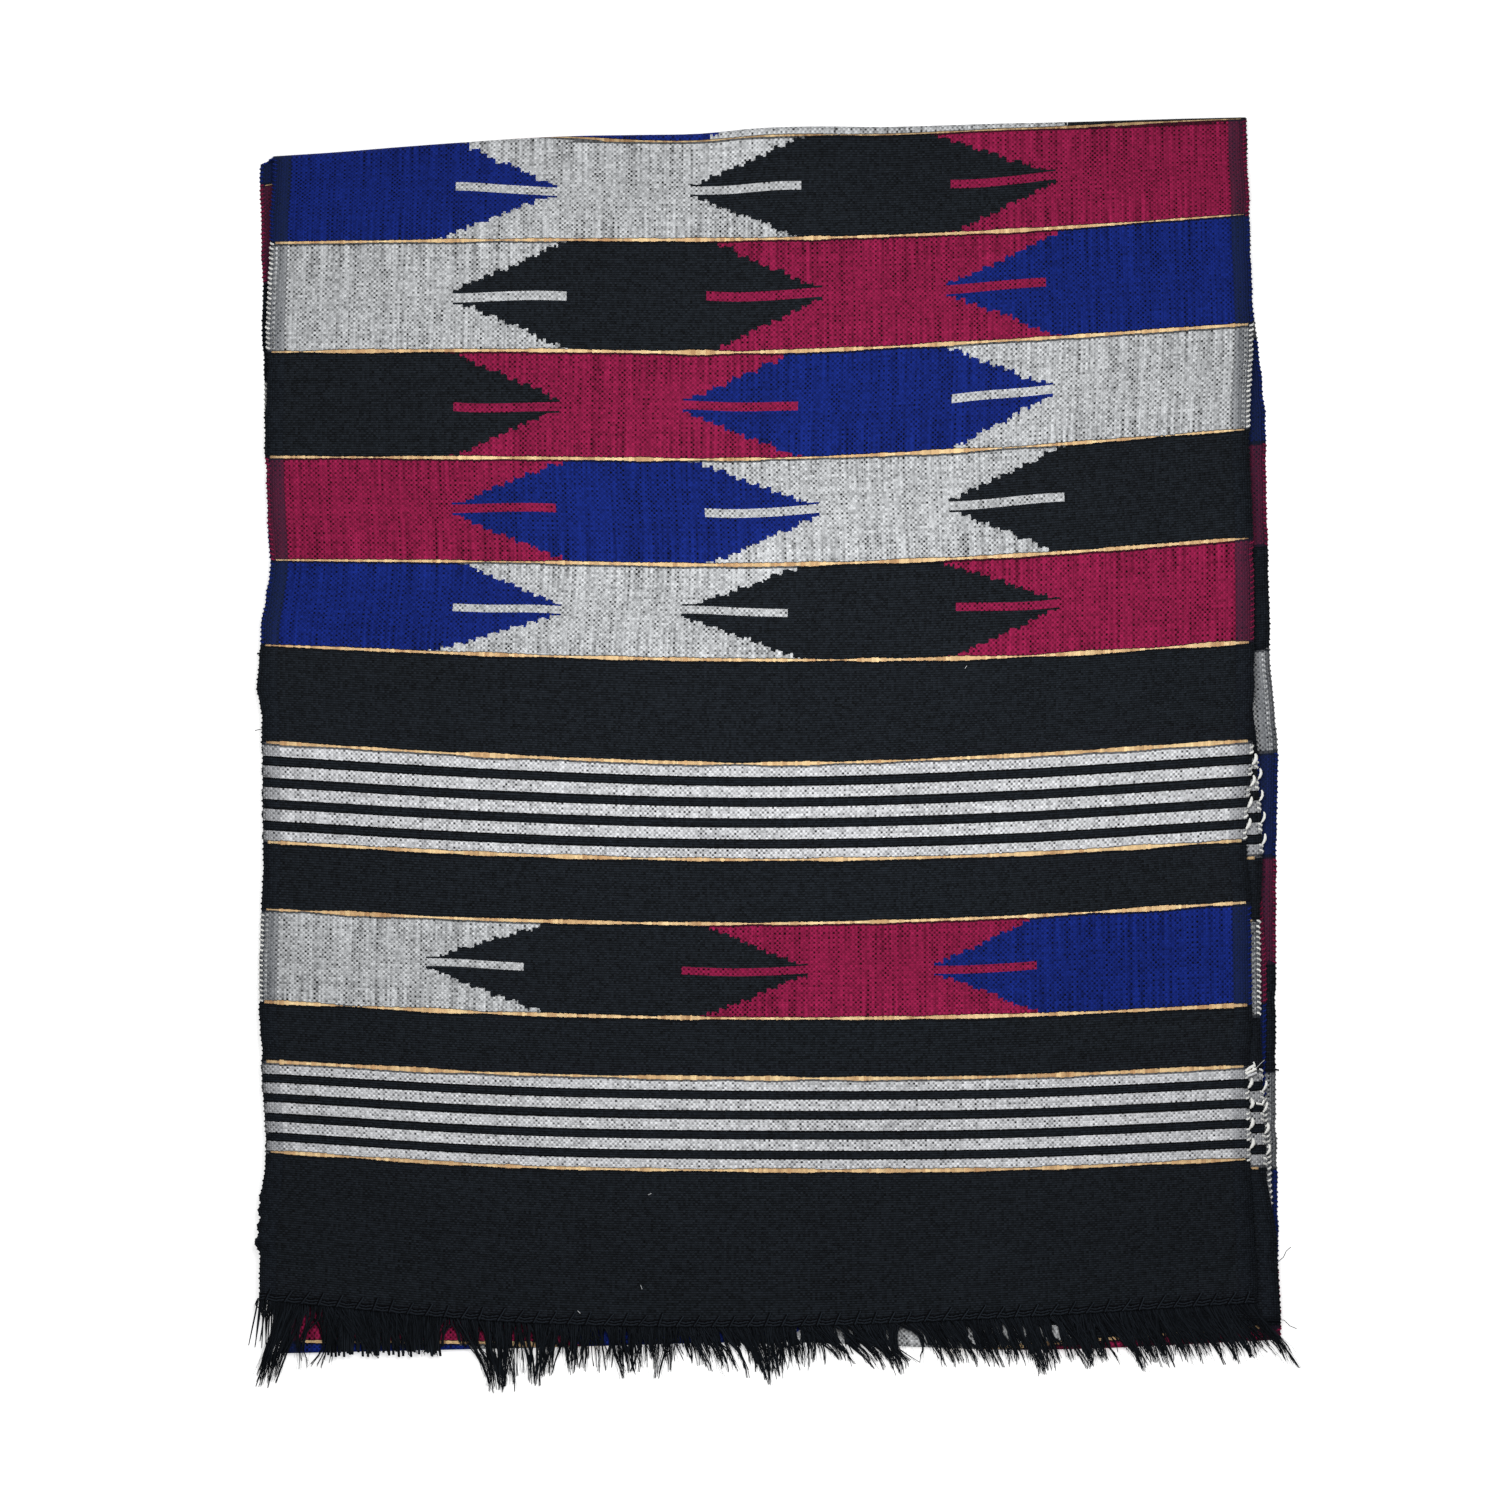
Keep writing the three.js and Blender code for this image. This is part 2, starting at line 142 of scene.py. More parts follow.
SECOND_LAYER = [
    Line((16.92, 17.0, 17.2, 16.99, 16.9), -249.7, 256.3, LOWER_FOLD_Y),
    Line((17.0, 17.09, 17.29, 17.07, 17.0), -249.7, 255.8, (-296.8, -293.5, -290.5, -294.5, -288.7)),
    Line(18.4, -250.0, 251.2, (-212.0, -217.0, -219.0, -214.0, -205.4)),
    Line(19, -250.0, 248.2, (-180.0, -185.0, -187.0, -182.0, -173.0)),
    Line(20, -250.0, 248.9, (-134.0, -139.0, -141.0, -136.0, -126.0)),
    Line(23, -250.5, 240.0, (22.0, 18.0, 16.0, 20.0, 30.0)),
    Line(26.5, -250.0, 236.0, (195.0, 195.0, 195.0, 200.0, 208.0)),
    Line(29, -249.0, 235.0, TOP_FOLD_Y),
]
THIRD_LAYER = [
    Line(29.1, -249.0, 235.0, TOP_FOLD_Y),
    Line(31.4, -250.0, 235.5, (180.0, 180.0, 180.0, 184.0, 190.0)),
    Line(34, -251.0, 238.0, (52.0, 47.0, 45.0, 45.0, 50.5)),
    Line(35, -252.3, 244.2, (2.0, -4.0, -7.0, -6.0, -1.0)),
    Line(36, -252.3, 246.7, (-48.0, -54.0, -57.0, -56.0, -52.0)),
    Line(37, -252.3, 245.2, (-80.0, -86.0, -89.0, -88.0, -83.3)),
    Line(38, -252.3, 245.8, (-127.0, -133.0, -136.0, -136.0, -132.8)),
    Line(39, -252.3, 246.6, (-156.0, -162.0, -165.0, -164.0, -159.1)),
    Line(40, -252.3, 248.7, (-202.0, -208.0, -211.0, -211.5, -208.6)),
    Line(40.5, -252.3, 254.3, (-240.0, -247.0, -249.0, -248.0, -250.0)),
    Line(41, -252.3, 255.8, (-272.0, -282.0, -284.0, -282.0, -286.3)),
]

# Soft swellings of the stack, full at the top layer and none at the floor
Swell = namedtuple("Swell", "x y height spread")
SWELLS = [
    Swell(-150, 190, 0.9, 90),
    Swell(60, 120, 0.7, 110),
    Swell(170, -40, 0.9, 80),
    Swell(-70, -120, 0.8, 100),
    Swell(120, 240, 0.6, 60),
]
SWELL_FREE_END = 55.0

# The side edges wander within this depth. Near the fringe the left one bulges in four soft scallops.
EDGE_WAVE_DEPTH = 15.0
LEFT_EDGE_SHIFTS = [
    (-276.0, 1.3), (-262.0, 0.9), (-251.0, 0.2), (-246.4, -2.8), (-242.0, -0.6), (-237.9, -2.9),
    (-234.0, -0.9), (-229.8, -3.1), (-226.5, -1.5), (-223.2, -3.0), (-220.0, -1.7), (-212.0, -0.7),
    (-201.0, 0.4), (-190.0, 0.0), (20.0, 0.2), (27.8, -1.3), (32.8, -2.6), (37.9, -2.2), (45.5, -1.2),
    (51.0, -1.0), (56.0, 0.0),
]

# The fringe's tufts as they lie, in millimetres: where their roots begin and end along the cloth's end, where
# their tips come together, how wide the tips spread, and how many fine yarns each has
Tuft = namedtuple("Tuft", "first last tip_x tip_y spread yarns")
TUFTS = [
    Tuft(-261, -250, -257, -284.5, 9, 60),
    Tuft(-252, -238.5, -260, -319, 5, 84),
    Tuft(-246.5, -239.5, -250.5, -307.5, 7, 14),
    Tuft(-232, -221, -235, -311, 11, 34),
    Tuft(-228, -212, -212, -301, 16, 96),
    Tuft(-217, -199, -201, -303, 7, 60),
    Tuft(-200, -185, -187, -303, 8, 60),
    Tuft(-186.5, -166, -177, -302.5, 13, 70),
    Tuft(-163, -154, -144.5, -318, 1.5, 22),
    Tuft(-155, -132.5, -140.5, -321, 7, 90),
    Tuft(-136, -128.5, -130.5, -321, 3, 12),
    Tuft(-131, -107.5, -120, -317.5, 7, 90),
    Tuft(-116, -107.5, -110.5, -309.5, 5, 14),
    Tuft(-108.5, -100.5, -105, -312, 4, 26),
    Tuft(-102.5, -92, -98, -312, 9, 30),
    Tuft(-92, -85, -88, -313, 3, 14),
    Tuft(-88, -82, -84.5, -311, 2, 10),
    Tuft(-84, -75, -77, -314.5, 5, 34),
    Tuft(-76, -64, -69, -313, 6, 44),
    Tuft(-64, -54, -59.5, -314, 2.5, 28),
    Tuft(-58, -46.5, -53, -309.5, 5, 18),
    Tuft(-49.5, -40.5, -41.5, -310.5, 4, 26),
    Tuft(-46.5, -37.5, -32.5, -310.5, 3, 30),
    Tuft(-40.5, -31.5, -24.5, -313.5, 3, 30),
    Tuft(-34.5, -26.5, -23.5, -305, 3, 26),
    Tuft(-29.5, -18.5, -12.5, -313.5, 2.5, 26),
    Tuft(-24.5, -15.5, -10.5, -308.5, 5, 18),
    Tuft(-19.5, 1, -3, -317, 3, 80),
    Tuft(-2.5, 8, 7, -311.5, 7, 40),
    Tuft(6, 16, 13, -310.5, 6, 34),
    Tuft(13, 19, 22, -310.5, 5, 12),
    Tuft(12, 26, 34, -305, 6, 54),
    Tuft(22, 30, 41, -309, 4, 14),
    Tuft(26, 59.5, 57.5, -309.5, 13, 130),
    Tuft(48, 60.5, 63, -312.5, 3, 24),
    Tuft(58.5, 65.5, 72, -307, 6, 10),
    Tuft(69.5, 83.5, 89.5, -309, 8, 56),
    Tuft(80.5, 96.5, 101.5, -309, 12, 50),
    Tuft(93.5, 106.5, 111, -309, 6, 40),
    Tuft(104, 115, 119, -308, 7, 40),
    Tuft(113, 123, 127, -307.5, 6, 36),
    Tuft(118, 134, 137, -314, 6, 76),
    Tuft(131, 142, 147, -307.5, 6, 24),
    Tuft(138, 157.5, 162.5, -309, 5, 76),
    Tuft(149, 159.5, 159.5, -312, 5, 24),
    Tuft(158.5, 168.5, 178.5, -307.5, 7, 24),
    Tuft(164.5, 182.5, 187, -311, 4, 70),
    Tuft(177.5, 194.5, 199.5, -308, 10, 60),
    Tuft(189.5, 203, 209, -307.5, 6, 50),
    Tuft(198.5, 213, 220, -307, 6, 50),
    Tuft(205, 218, 228.5, -308.5, 2, 24),
    Tuft(213, 227, 235, -306.5, 6, 50),
    Tuft(222, 233, 244, -305.5, 6, 30),
    Tuft(228, 243, 259.5, -308.5, 4, 50),
    Tuft(237, 246, 264.5, -308.5, 3, 20),
]

# Where the yarns part and the cloth below shows: the middle, and half of its width and of its height
Glimpse = namedtuple("Glimpse", "x y half reach")
GLIMPSES = [
    Glimpse(-233.3, -297.0, 4.6, 10.5),
    Glimpse(-163.8, -297.0, 3.6, 9.5),
    Glimpse(-148.0, -296.0, 1.8, 8.5),
    Glimpse(-132.0, -295.0, 1.0, 7.0),
    Glimpse(-122.6, -295.0, 1.0, 7.0),
    Glimpse(-85.0, -295.0, 1.4, 7.0),
    Glimpse(-74.5, -295.0, 1.0, 7.0),
    Glimpse(-26.5, -295.0, 1.0, 6.0),
    Glimpse(12.5, -292.5, 1.4, 6.0),
    Glimpse(33.8, -294.0, 1.7, 7.0),
    Glimpse(38.6, -290.5, 0.9, 4.5),
    Glimpse(57.3, -293.5, 0.9, 5.0),
    Glimpse(68.0, -297.0, 5.8, 9.5),
    Glimpse(99.2, -293.0, 1.3, 7.0),
    Glimpse(116.7, -291.5, 1.4, 6.0),
    Glimpse(126.7, -291.5, 0.9, 5.0),
    Glimpse(142.2, -291.0, 1.8, 7.0),
    Glimpse(152.5, -290.5, 0.7, 5.0),
    Glimpse(164.2, -293.5, 1.6, 6.0),
    Glimpse(171.5, -298.0, 1.6, 4.5),
    Glimpse(184.0, -291.5, 0.8, 4.5),
]

# Thick yarns and fine frayed hairs: the radius, how much shorter they are cut, and how far they go astray
Kind = namedtuple("Kind", "radius cut aside curl")
THICK_YARN = Kind(0.4, 8.0, 0.4, 0.2)
FINE_HAIR = Kind(0.12, 13.0, 1.4, 1.0)
THICK_SHARE = 0.45
STRAY_SHARE = 0.12
YARN_BEND = 0.25
YARN_STEPS = 7
SHORTEST_YARN = 5.0

# The yarns of a tuft cling together in strands of uneven length
STRAND_YARNS = 8
STRAND_DROP = 9.0
STRAND_BEND, STRAND_CURL, CURL_TURN = 0.8, 0.9, 4.5
STRANDS_IN_ORDER = 0.7
TIP_SPREAD = 1.1
TIP_REACH = 2.5
FULLNESS = 1.35

# How the fringe lies: its roots inside the cloth's end, the way down to the layer below, then to the floor
ROOT_DEPTH = 0.8
SETTLING = 9.0
FOLD_DROP = 8.0
ABOVE_FLOOR = 0.3
UNDER_FRINGE_SHIFT, UNDER_FRINGE_SHORTER, UNDER_FRINGE_SHARE = 5.0, 3.0, 0.8
UNDER_FRINGE_LAST = 236.0

# Short thick yarns close the fringe below the cloth's end, and lean further towards the right. Along one
# stretch at the left they hang as far as the lower fold.
ROOT_PITCH, ROOT_RADIUS, ROOT_LEAN = 0.85, 0.55, 11.0
ROOT_TIPS_Y = (-300.5, -296.5)
ROOT_ASIDE, ROOT_SHAPE = 2.0, (1.0, 1.0, 0.9, 0.5)
LONG_ROOTS_X = (-226.0, -169.0)
LONG_ROOTS_MORE = 4.2
LONG_ROOT_ASIDE, LONG_ROOT_SHAPE = 0.7, (1.0, 1.2, 1.5, 1.5)

# The slanted stitches that hold the cloth's end, lightened as a painted highlight, each with a painted shadow
# beside it: a thin dark yarn
STITCH_PITCH, STITCH_HEIGHT, STITCH_LEAN, STITCH_RADIUS = 9.0, 6.4, 3.8, 0.42
STITCH_SHADOW_ASIDE, STITCH_SHADOW_RADIUS = -0.85, 0.45

# The cord that runs through the stitches, in two strands, lightened as a painted highlight, each with a
# painted shadow above it: a thin dark yarn
CORD_RADIUS = 0.55
CORD_HEIGHTS = (0.5, 1.9)
CORD_STEP, CORD_SAG, CORD_TWIST, STRAND_TWIST = 1.1, 0.9, 2.6, 1.6
CORD_SHADOW_ABOVE, CORD_SHADOW_RADIUS = 0.85, 0.38

# The side edges' loops, and the wefts carried past the stripes there
LOOP_RADIUS, PALE_LOOP_SWELLING = 0.5, 1.35
WHITE_CARRIED_RADIUS, BLACK_CARRIED_RADIUS = 0.9, 0.6
WHITE_CARRIED_REACH, BLACK_CARRIED_REACH = 1.05, 0.76
CARRIED_SHAPE = (0.55, 0.95, 1.1, 0.95, 0.55)


def dye(red, green, blue):
    """A yarn's colour from 0 to 255 steps, as the light that it sends back."""
    def linear(step):
        share = step / 255
        return share / 12.92 if share <= 0.04045 else ((share + 0.055) / 1.055) ** 2.4

    return (linear(red), linear(green), linear(blue), 1.0)


BLACK = dye(21, 25, 30)
SHADE = dye(9, 11, 16)
BLUE = dye(16, 35, 112)
MAROON = dye(136, 25, 66)
GREY = dye(182, 184, 186)
WHITE = dye(200, 201, 204)
CREAM = dye(232, 232, 228)
GOLD_DEEP = dye(194, 140, 94)
GOLD_PALE = dye(246, 220, 168)
WARP = dye(24, 34, 50)
LOZENGE_COLOURS = (BLUE, GREY, BLACK, MAROON)


# The folded cloth
def lerp(one, other, share):
    return one + (other - one) * share


def eased(share):
    """A share from 0 to 1 with a soft start and end."""
    return share * share * (3 - 2 * share)


def at_stations(values, across):
    """A smooth curve through even stations, read at across from 0 to 1."""
    values = np.asarray(values, float)
    padded = np.concatenate([[2 * values[0] - values[1]], values, [2 * values[-1] - values[-2]]])
    place = np.clip(across, 0, 1) * (len(values) - 1)
    start = np.minimum(np.floor(place).astype(int), len(values) - 2)
    t = place - start
    a, b, c, d = (padded[start + step] for step in range(4))
    slope_b, slope_c, rise = (c - a) / 2, (d - b) / 2, c - b
    return b + t * (slope_b + t * (3 * rise - 2 * slope_b - slope_c + t * (slope_b + slope_c - 2 * rise)))


def swell(x, y):
    ends = np.minimum(y - TOP_LAYER[0].y[2], TOP_LAYER[-1].y[0] - y)
    fade = eased(np.clip(ends / SWELL_FREE_END, 0, 1))
    total = sum(b.height * np.exp(-(((x - b.x) ** 2 + (y - b.y) ** 2) / b.spread**2)) for b in SWELLS)
    return fade * total


def height_at(level, x, y):
    return HALF + level * LAYER_PITCH + swell(x, y) * level / TOP_LEVEL


class Rows:
    """The lines of the folded section in order, each with its values at every column."""

    def __init__(self):
        self.across = np.linspace(0, 1, COLUMNS + 1)
        self.left, self.right, self.y, self.section, self.level, self.angle = [], [], [], [], [], []

    def add(self, left, right, y, section, level, angle):
        self.left.append(left)
        self.right.append(right)
        self.y.append(y)
        self.section.append(section)
        self.level.append(level)
        self.angle.append(angle)

    def spread(self, line):
        sections = line.section if isinstance(line.section, tuple) else (line.section, line.section)
        return line.left, line.right, at_stations(line.y, self.across), at_stations(sections, self.across)

    def flat(self, lines, level, angle, step):
        """A flat layer, with its side edges eased from line to line."""
        spread = [self.spread(line) for line in lines]
        self.add(*spread[0], level, angle)
        for one, other in zip(spread, spread[1:]):
            parts = max(1, round(abs(one[2].mean() - other[2].mean()) / step))
            for part in range(1, parts + 1):
                share = part / parts
                soft = eased(share)
                left, right = lerp(one[0], other[0], soft), lerp(one[1], other[1], soft)
                y, section = lerp(one[2], other[2], share), lerp(one[3], other[3], share)
                self.add(left, right, y, section, level, angle)

    def turn(self, after, level_after, reach, sense, faces_out, steps):
        """A turn to the next layer's first line. The sense is +1 at a top fold and -1 at the lower."""
        left, right, y, section = self.left[-1], self.right[-1], self.y[-1], self.section[-1]
        level = self.level[-1]
        next_left, next_right, next_y, next_section = self.spread(after)
        climb = math.copysign(1, level_after - level)
        for step in range(1, steps):
            share = step / steps
            angle = climb * (share - 0.5) * math.pi
            outward = math.atan2(math.sin(angle), sense * math.cos(angle))
            self.add(
                lerp(left, next_left, share**4),
                lerp(right, next_right, share),
                lerp(y, next_y, share) + sense * reach * math.cos(angle),
                lerp(section, next_section, share),
                (level + level_after) / 2 + abs(level_after - level) / 2 * math.sin(angle),
                outward if faces_out else outward + math.pi,
            )

    def settle(self):
        """Works out every point of the cloth's middle, and how far along the cloth each row is."""
        self.angle = np.array(self.angle)[:, None]
        self.level = np.array(self.level)[:, None]
        self.y = np.array(self.y)
        self.section = np.array(self.section)
        self.x = lerp(np.array(self.left)[:, None], np.array(self.right)[:, None], self.across)
        middle = COLUMNS // 2
        height = height_at(self.level, self.x, self.y)[:, middle]
        self.along = np.concatenate([[0.0], np.cumsum(np.hypot(np.diff(self.y[:, middle]), np.diff(height)))])
        for side, column in ((-1, 0), (1, -1)):
            from_edge = CLOTH_WIDTH * (self.across if side < 0 else 1 - self.across)
            hold = np.clip(1 - from_edge / EDGE_WAVE_DEPTH, 0, 1)
            wave = np.array([edge_wave(side, along) for along in self.along])
            if side < 0:
                end_rows = self.level[:, 0] > TOP_LEVEL - 0.01
                wave += end_rows * np.interp(self.y[:, 0], *zip(*LEFT_EDGE_SHIFTS))
            self.x += wave[:, None] * hold
        self.z = height_at(self.level, self.x, self.y)


def edge_wave(side, along):
    """How far a side edge of the cloth wanders to the right at a place along it."""
    slow = noise.noise((along * 0.03, side * 5.0, 0.0)) * (0.5 if side > 0 else 1.0)
    return slow + noise.noise((along * 0.11, side * 9.0, 3.0)) * 0.7


def moved(line, distance):
    return line._replace(y=tuple(value + distance for value in line.y))


def folded_rows():
    up = math.pi / 2
    outer = -(OUTER_TURN_REACH + HALF)
    lower = LOWER_TURN_REACH + HALF
    inner = -(INNER_TURN_REACH + HALF + INNER_FOLD_INSET)
    floor = [moved(FLOOR_LAYER[0], outer), *FLOOR_LAYER[1:-1], moved(FLOOR_LAYER[-1], lower)]
    second = [moved(SECOND_LAYER[0], lower), *SECOND_LAYER[1:-1], moved(SECOND_LAYER[-1], inner)]
    third = [moved(THIRD_LAYER[0], inner), *THIRD_LAYER[1:]]
    rows = Rows()
    rows.flat([*TOP_LAYER[:-1], moved(TOP_LAYER[-1], outer)], TOP_LEVEL, up, TOP_STEP)
    rows.turn(floor[0], FLOOR_LEVEL, OUTER_TURN_REACH, 1, True, OUTER_TURN_STEPS)
    rows.flat(floor, FLOOR_LEVEL, -up, OTHER_STEP)
    rows.turn(second[0], SECOND_LEVEL, LOWER_TURN_REACH, -1, True, SMALL_TURN_STEPS)
    rows.flat(second, SECOND_LEVEL, up, HIDDEN_STEP)
    rows.turn(third[0], THIRD_LEVEL, INNER_TURN_REACH, 1, False, SMALL_TURN_STEPS)
    rows.flat(third, THIRD_LEVEL, -up, OTHER_STEP)
    rows.settle()
    return rows


def float_attribute(mesh, name, values):
    attribute = mesh.attributes.new(name, "FLOAT", "POINT")
    attribute.data.foreach_set("value", np.asarray(values, np.float32).ravel())


def finished_object(name, mesh):
    ob = bpy.data.objects.new(name, mesh)
    bpy.context.scene.collection.objects.link(ob)
    return ob


def cloth_mesh(rows):
    """The sheet: a face and a back half its thickness either side of the rows, closed round the rim."""
    count, wide = rows.x.shape
    points = []
    for side in (HALF, -HALF):
        y = rows.y + side * np.cos(rows.angle)
        z = rows.z + side * np.sin(rows.angle)
        points.append(np.stack([rows.x, y, z], axis=-1).reshape(-1, 3))
    back = count * wide
    corner = (np.arange(count - 1)[:, None] * wide + np.arange(wide - 1)).ravel()
    face = np.stack([corner, corner + 1, corner + wide + 1, corner + wide], axis=-1)
    first = np.arange(count - 1) * wide
    last = first + wide - 1
    start = np.arange(wide - 1)
    finish = (count - 1) * wide + start
    quads = np.concatenate([
        face,
        back + face[:, ::-1],
        np.stack([first, first + wide, back + first + wide, back + first], axis=-1),
        np.stack([last, back + last, back + last + wide, last + wide], axis=-1),
        np.stack([start, back + start, back + start + 1, start + 1], axis=-1),
        np.stack([finish, finish + 1, back + finish + 1, back + finish], axis=-1),
    ])
    mesh = bpy.data.meshes.new("cloth_sheet")
    mesh.from_pydata(np.concatenate(points) * MM, [], quads.tolist())
    across = np.broadcast_to(rows.across * CLOTH_WIDTH, rows.x.shape)
    along = np.broadcast_to(rows.along[:, None], rows.x.shape)
    band_mm = np.gradient(along, axis=0) / np.gradient(rows.section, axis=0)
    places = {"across": across, "along": along, "section": rows.section, "band_mm": band_mm}
    for name, values in places.items():
        float_attribute(mesh, name, np.concatenate([values.ravel(), values.ravel()]))
    uv = mesh.uv_layers.new(name="UVMap")
    corners = np.zeros(len(mesh.loops), np.int32)
    mesh.loops.foreach_get("vertex_index", corners)
    flat = np.stack([across.ravel(), along.ravel()], axis=-1) * MM
    uv.data.foreach_set("uv", flat[corners % back].astype(np.float32).ravel())
    mesh.polygons.foreach_set("use_smooth", np.ones(len(mesh.polygons), bool))
    mesh.validate()
    mesh.update()
    return mesh


# Materials, with the numbers of the outputs and the colour mixer's sockets that they use
COLOUR_OUTPUT, VALUE_OUTPUT, OBJECT_OUTPUT = 0, 2, 3
MIX_SHARE, MIX_ONE, MIX_OTHER, MIX_RESULT = 0, 6, 7, 2

# How strongly each unevenness of the weave shows, as a share of the yarn's colour. The weft's light, the
# pleats and the ribs are painted highlight and shade, and the last two are painted shade along the stripes
# and painted shadow along the gold lines.
EVEN_LIGHT = 0.94
WEFT_HIGHLIGHT, WARP_SHADE, PALE_WARP_SHADE = 0.4, 1.15, 0.9
CROSSING_DEPTH, PLEAT_SHADING, CLOUD_DEPTH, TONE_DEPTH, SLUB_DEPTH = 0.4, 0.4, 0.2, 0.25, 0.3
RIB_SHADING = 1.2
# Painted shade along the edges of the black stripes
STRIPE_SHADE_DEPTH = 0.9
# Painted shadow along the gold lines
GOLD_SHADOW_DEPTH = 0.8

# The loose yarn's fine grain
FUZZ = 0.3
FUZZ_SCALE = 900.0


class Wire:
    """A value inside a material, so that sums on it are written as sums."""

    def __init__(self, work, socket):
        self.work, self.socket = work, socket

    def sum(self, operation, *values):
        return self.work.node("ShaderNodeMath", {"operation": operation}, *values)

    def __add__(self, other):
        return self.sum("ADD", self, other)

    def __radd__(self, other):
        return self.sum("ADD", other, self)

    def __sub__(self, other):
        return self.sum("SUBTRACT", self, other)

    def __rsub__(self, other):
        return self.sum("SUBTRACT", other, self)

    def __mul__(self, other):
        return self.sum("MULTIPLY", self, other)

    def __rmul__(self, other):
        return self.sum("MULTIPLY", other, self)

    def __truediv__(self, other):
        return self.sum("DIVIDE", self, other)

    def __rtruediv__(self, other):
        return self.sum("DIVIDE", other, self)

    def __mod__(self, other):
        return self.sum("FLOORED_MODULO", self, other)

    def __gt__(self, other):
        return self.sum("GREATER_THAN", self, other)

    def __lt__(self, other):
        return self.sum("LESS_THAN", self, other)

    def __abs__(self):
        return self.sum("ABSOLUTE", self)

    def floor(self):
        return self.sum("FLOOR", self)

    def sine(self):
        return self.sum("SINE", self)

    def least(self, other):
        return self.sum("MINIMUM", self, other)

    def most(self, other):
        return self.sum("MAXIMUM", self, other)

    def is_near(self, other):
        return self.sum("COMPARE", self, other, 0.5)


class Work:
    """One material being made."""

    def __init__(self, name):
        self.material = bpy.data.materials.new(name)
        self.material.use_nodes = True
        self.nodes = self.material.node_tree.nodes
        self.links = self.material.node_tree.links
        self.surface = self.nodes["Principled BSDF"]

    def join(self, value, socket):
        if isinstance(value, Wire):
            self.links.new(value.socket, socket)
        elif value is not None:
            socket.default_value = value

    def node(self, kind, settings, *values, output=0):
        """Any node: its settings come first, then its sockets in order, with None for one left alone."""
        made = self.nodes.new(kind)
        for name, value in settings.items():
            setattr(made, name, value)
        for value, socket in zip(values, made.inputs):
            self.join(value, socket)
        return Wire(self, made.outputs[output])

    def attribute(self, name, output=VALUE_OUTPUT):
        return self.node("ShaderNodeAttribute", {"attribute_name": name}, output=output)

    def place(self, x, y, z=0.0):
        return self.node("ShaderNodeCombineXYZ", {}, x, y, z)

    def blend(self, share, one, other, way="MIX"):
        made = self.nodes.new("ShaderNodeMix")
        made.data_type, made.blend_type = "RGBA", way
        self.join(share, made.inputs[MIX_SHARE])
        self.join(one, made.inputs[MIX_ONE])
        self.join(other, made.inputs[MIX_OTHER])
        return Wire(self, made.outputs[MIX_RESULT])

    def shaded(self, colour, light):
        """A colour made lighter or darker."""
        return self.blend(1.0, colour, self.place(light, light, light), "MULTIPLY")

    def scatter(self, x, y, z=0.0):
        """An uneven value from 0 to 1 for each whole place. The last number tells its uses apart."""
        return self.node("ShaderNodeTexWhiteNoise", {"noise_dimensions": "3D"}, self.place(x, y, z))

    def drift(self, x, y, detail=2.0):
        """A soft uneven value from 0 to 1."""
        spot = self.place(x, y)
        return self.node("ShaderNodeTexNoise", {"noise_dimensions": "2D"}, spot, None, 1.0, detail)

    def set(self, **values):
        for name, value in values.items():
            self.join(value, self.surface.inputs[name.replace("_", " ")])

    def relief(self, height, distance):
        bump = self.nodes.new("ShaderNodeBump")
        self.join(distance, bump.inputs["Distance"])
        self.join(height, bump.inputs["Height"])
        self.links.new(bump.outputs[0], self.surface.inputs["Normal"])


class Spot:
    """A place on the cloth: its section of the pattern, its yarns, and how uneven the weave is there."""

    def __init__(self, work):
        self.across, self.along = work.attribute("across"), work.attribute("along")
        self.section, self.band_mm = work.attribute("section"), work.attribute("band_mm")
        self.index = self.section.floor()
        self.part = self.section - self.index
        warp, weft = self.across / WARP_PITCH, self.along / WEFT_PITCH
        self.column, self.pick = warp.floor(), weft.floor()
        self.weft_up = (self.column + self.pick) % 2
        self.ridge = ((weft - self.pick) * math.pi).sine()
        self.dome = ((warp - self.column) * math.pi).sine() * self.ridge
        self.crossing = work.scatter(self.column, self.pick) - 0.5
        self.pleat = work.drift(self.across * 0.55, self.along * 0.014, detail=1.0) - 0.5
        self.from_edge = self.across.least(CLOTH_WIDTH - self.across)
        self.selvedge = self.from_edge < SELVEDGE_WIDTH

    def among(self, sections):
        """1 in the sections given and 0 in all others."""
        return sum(self.index.is_near(section) for section in sections)


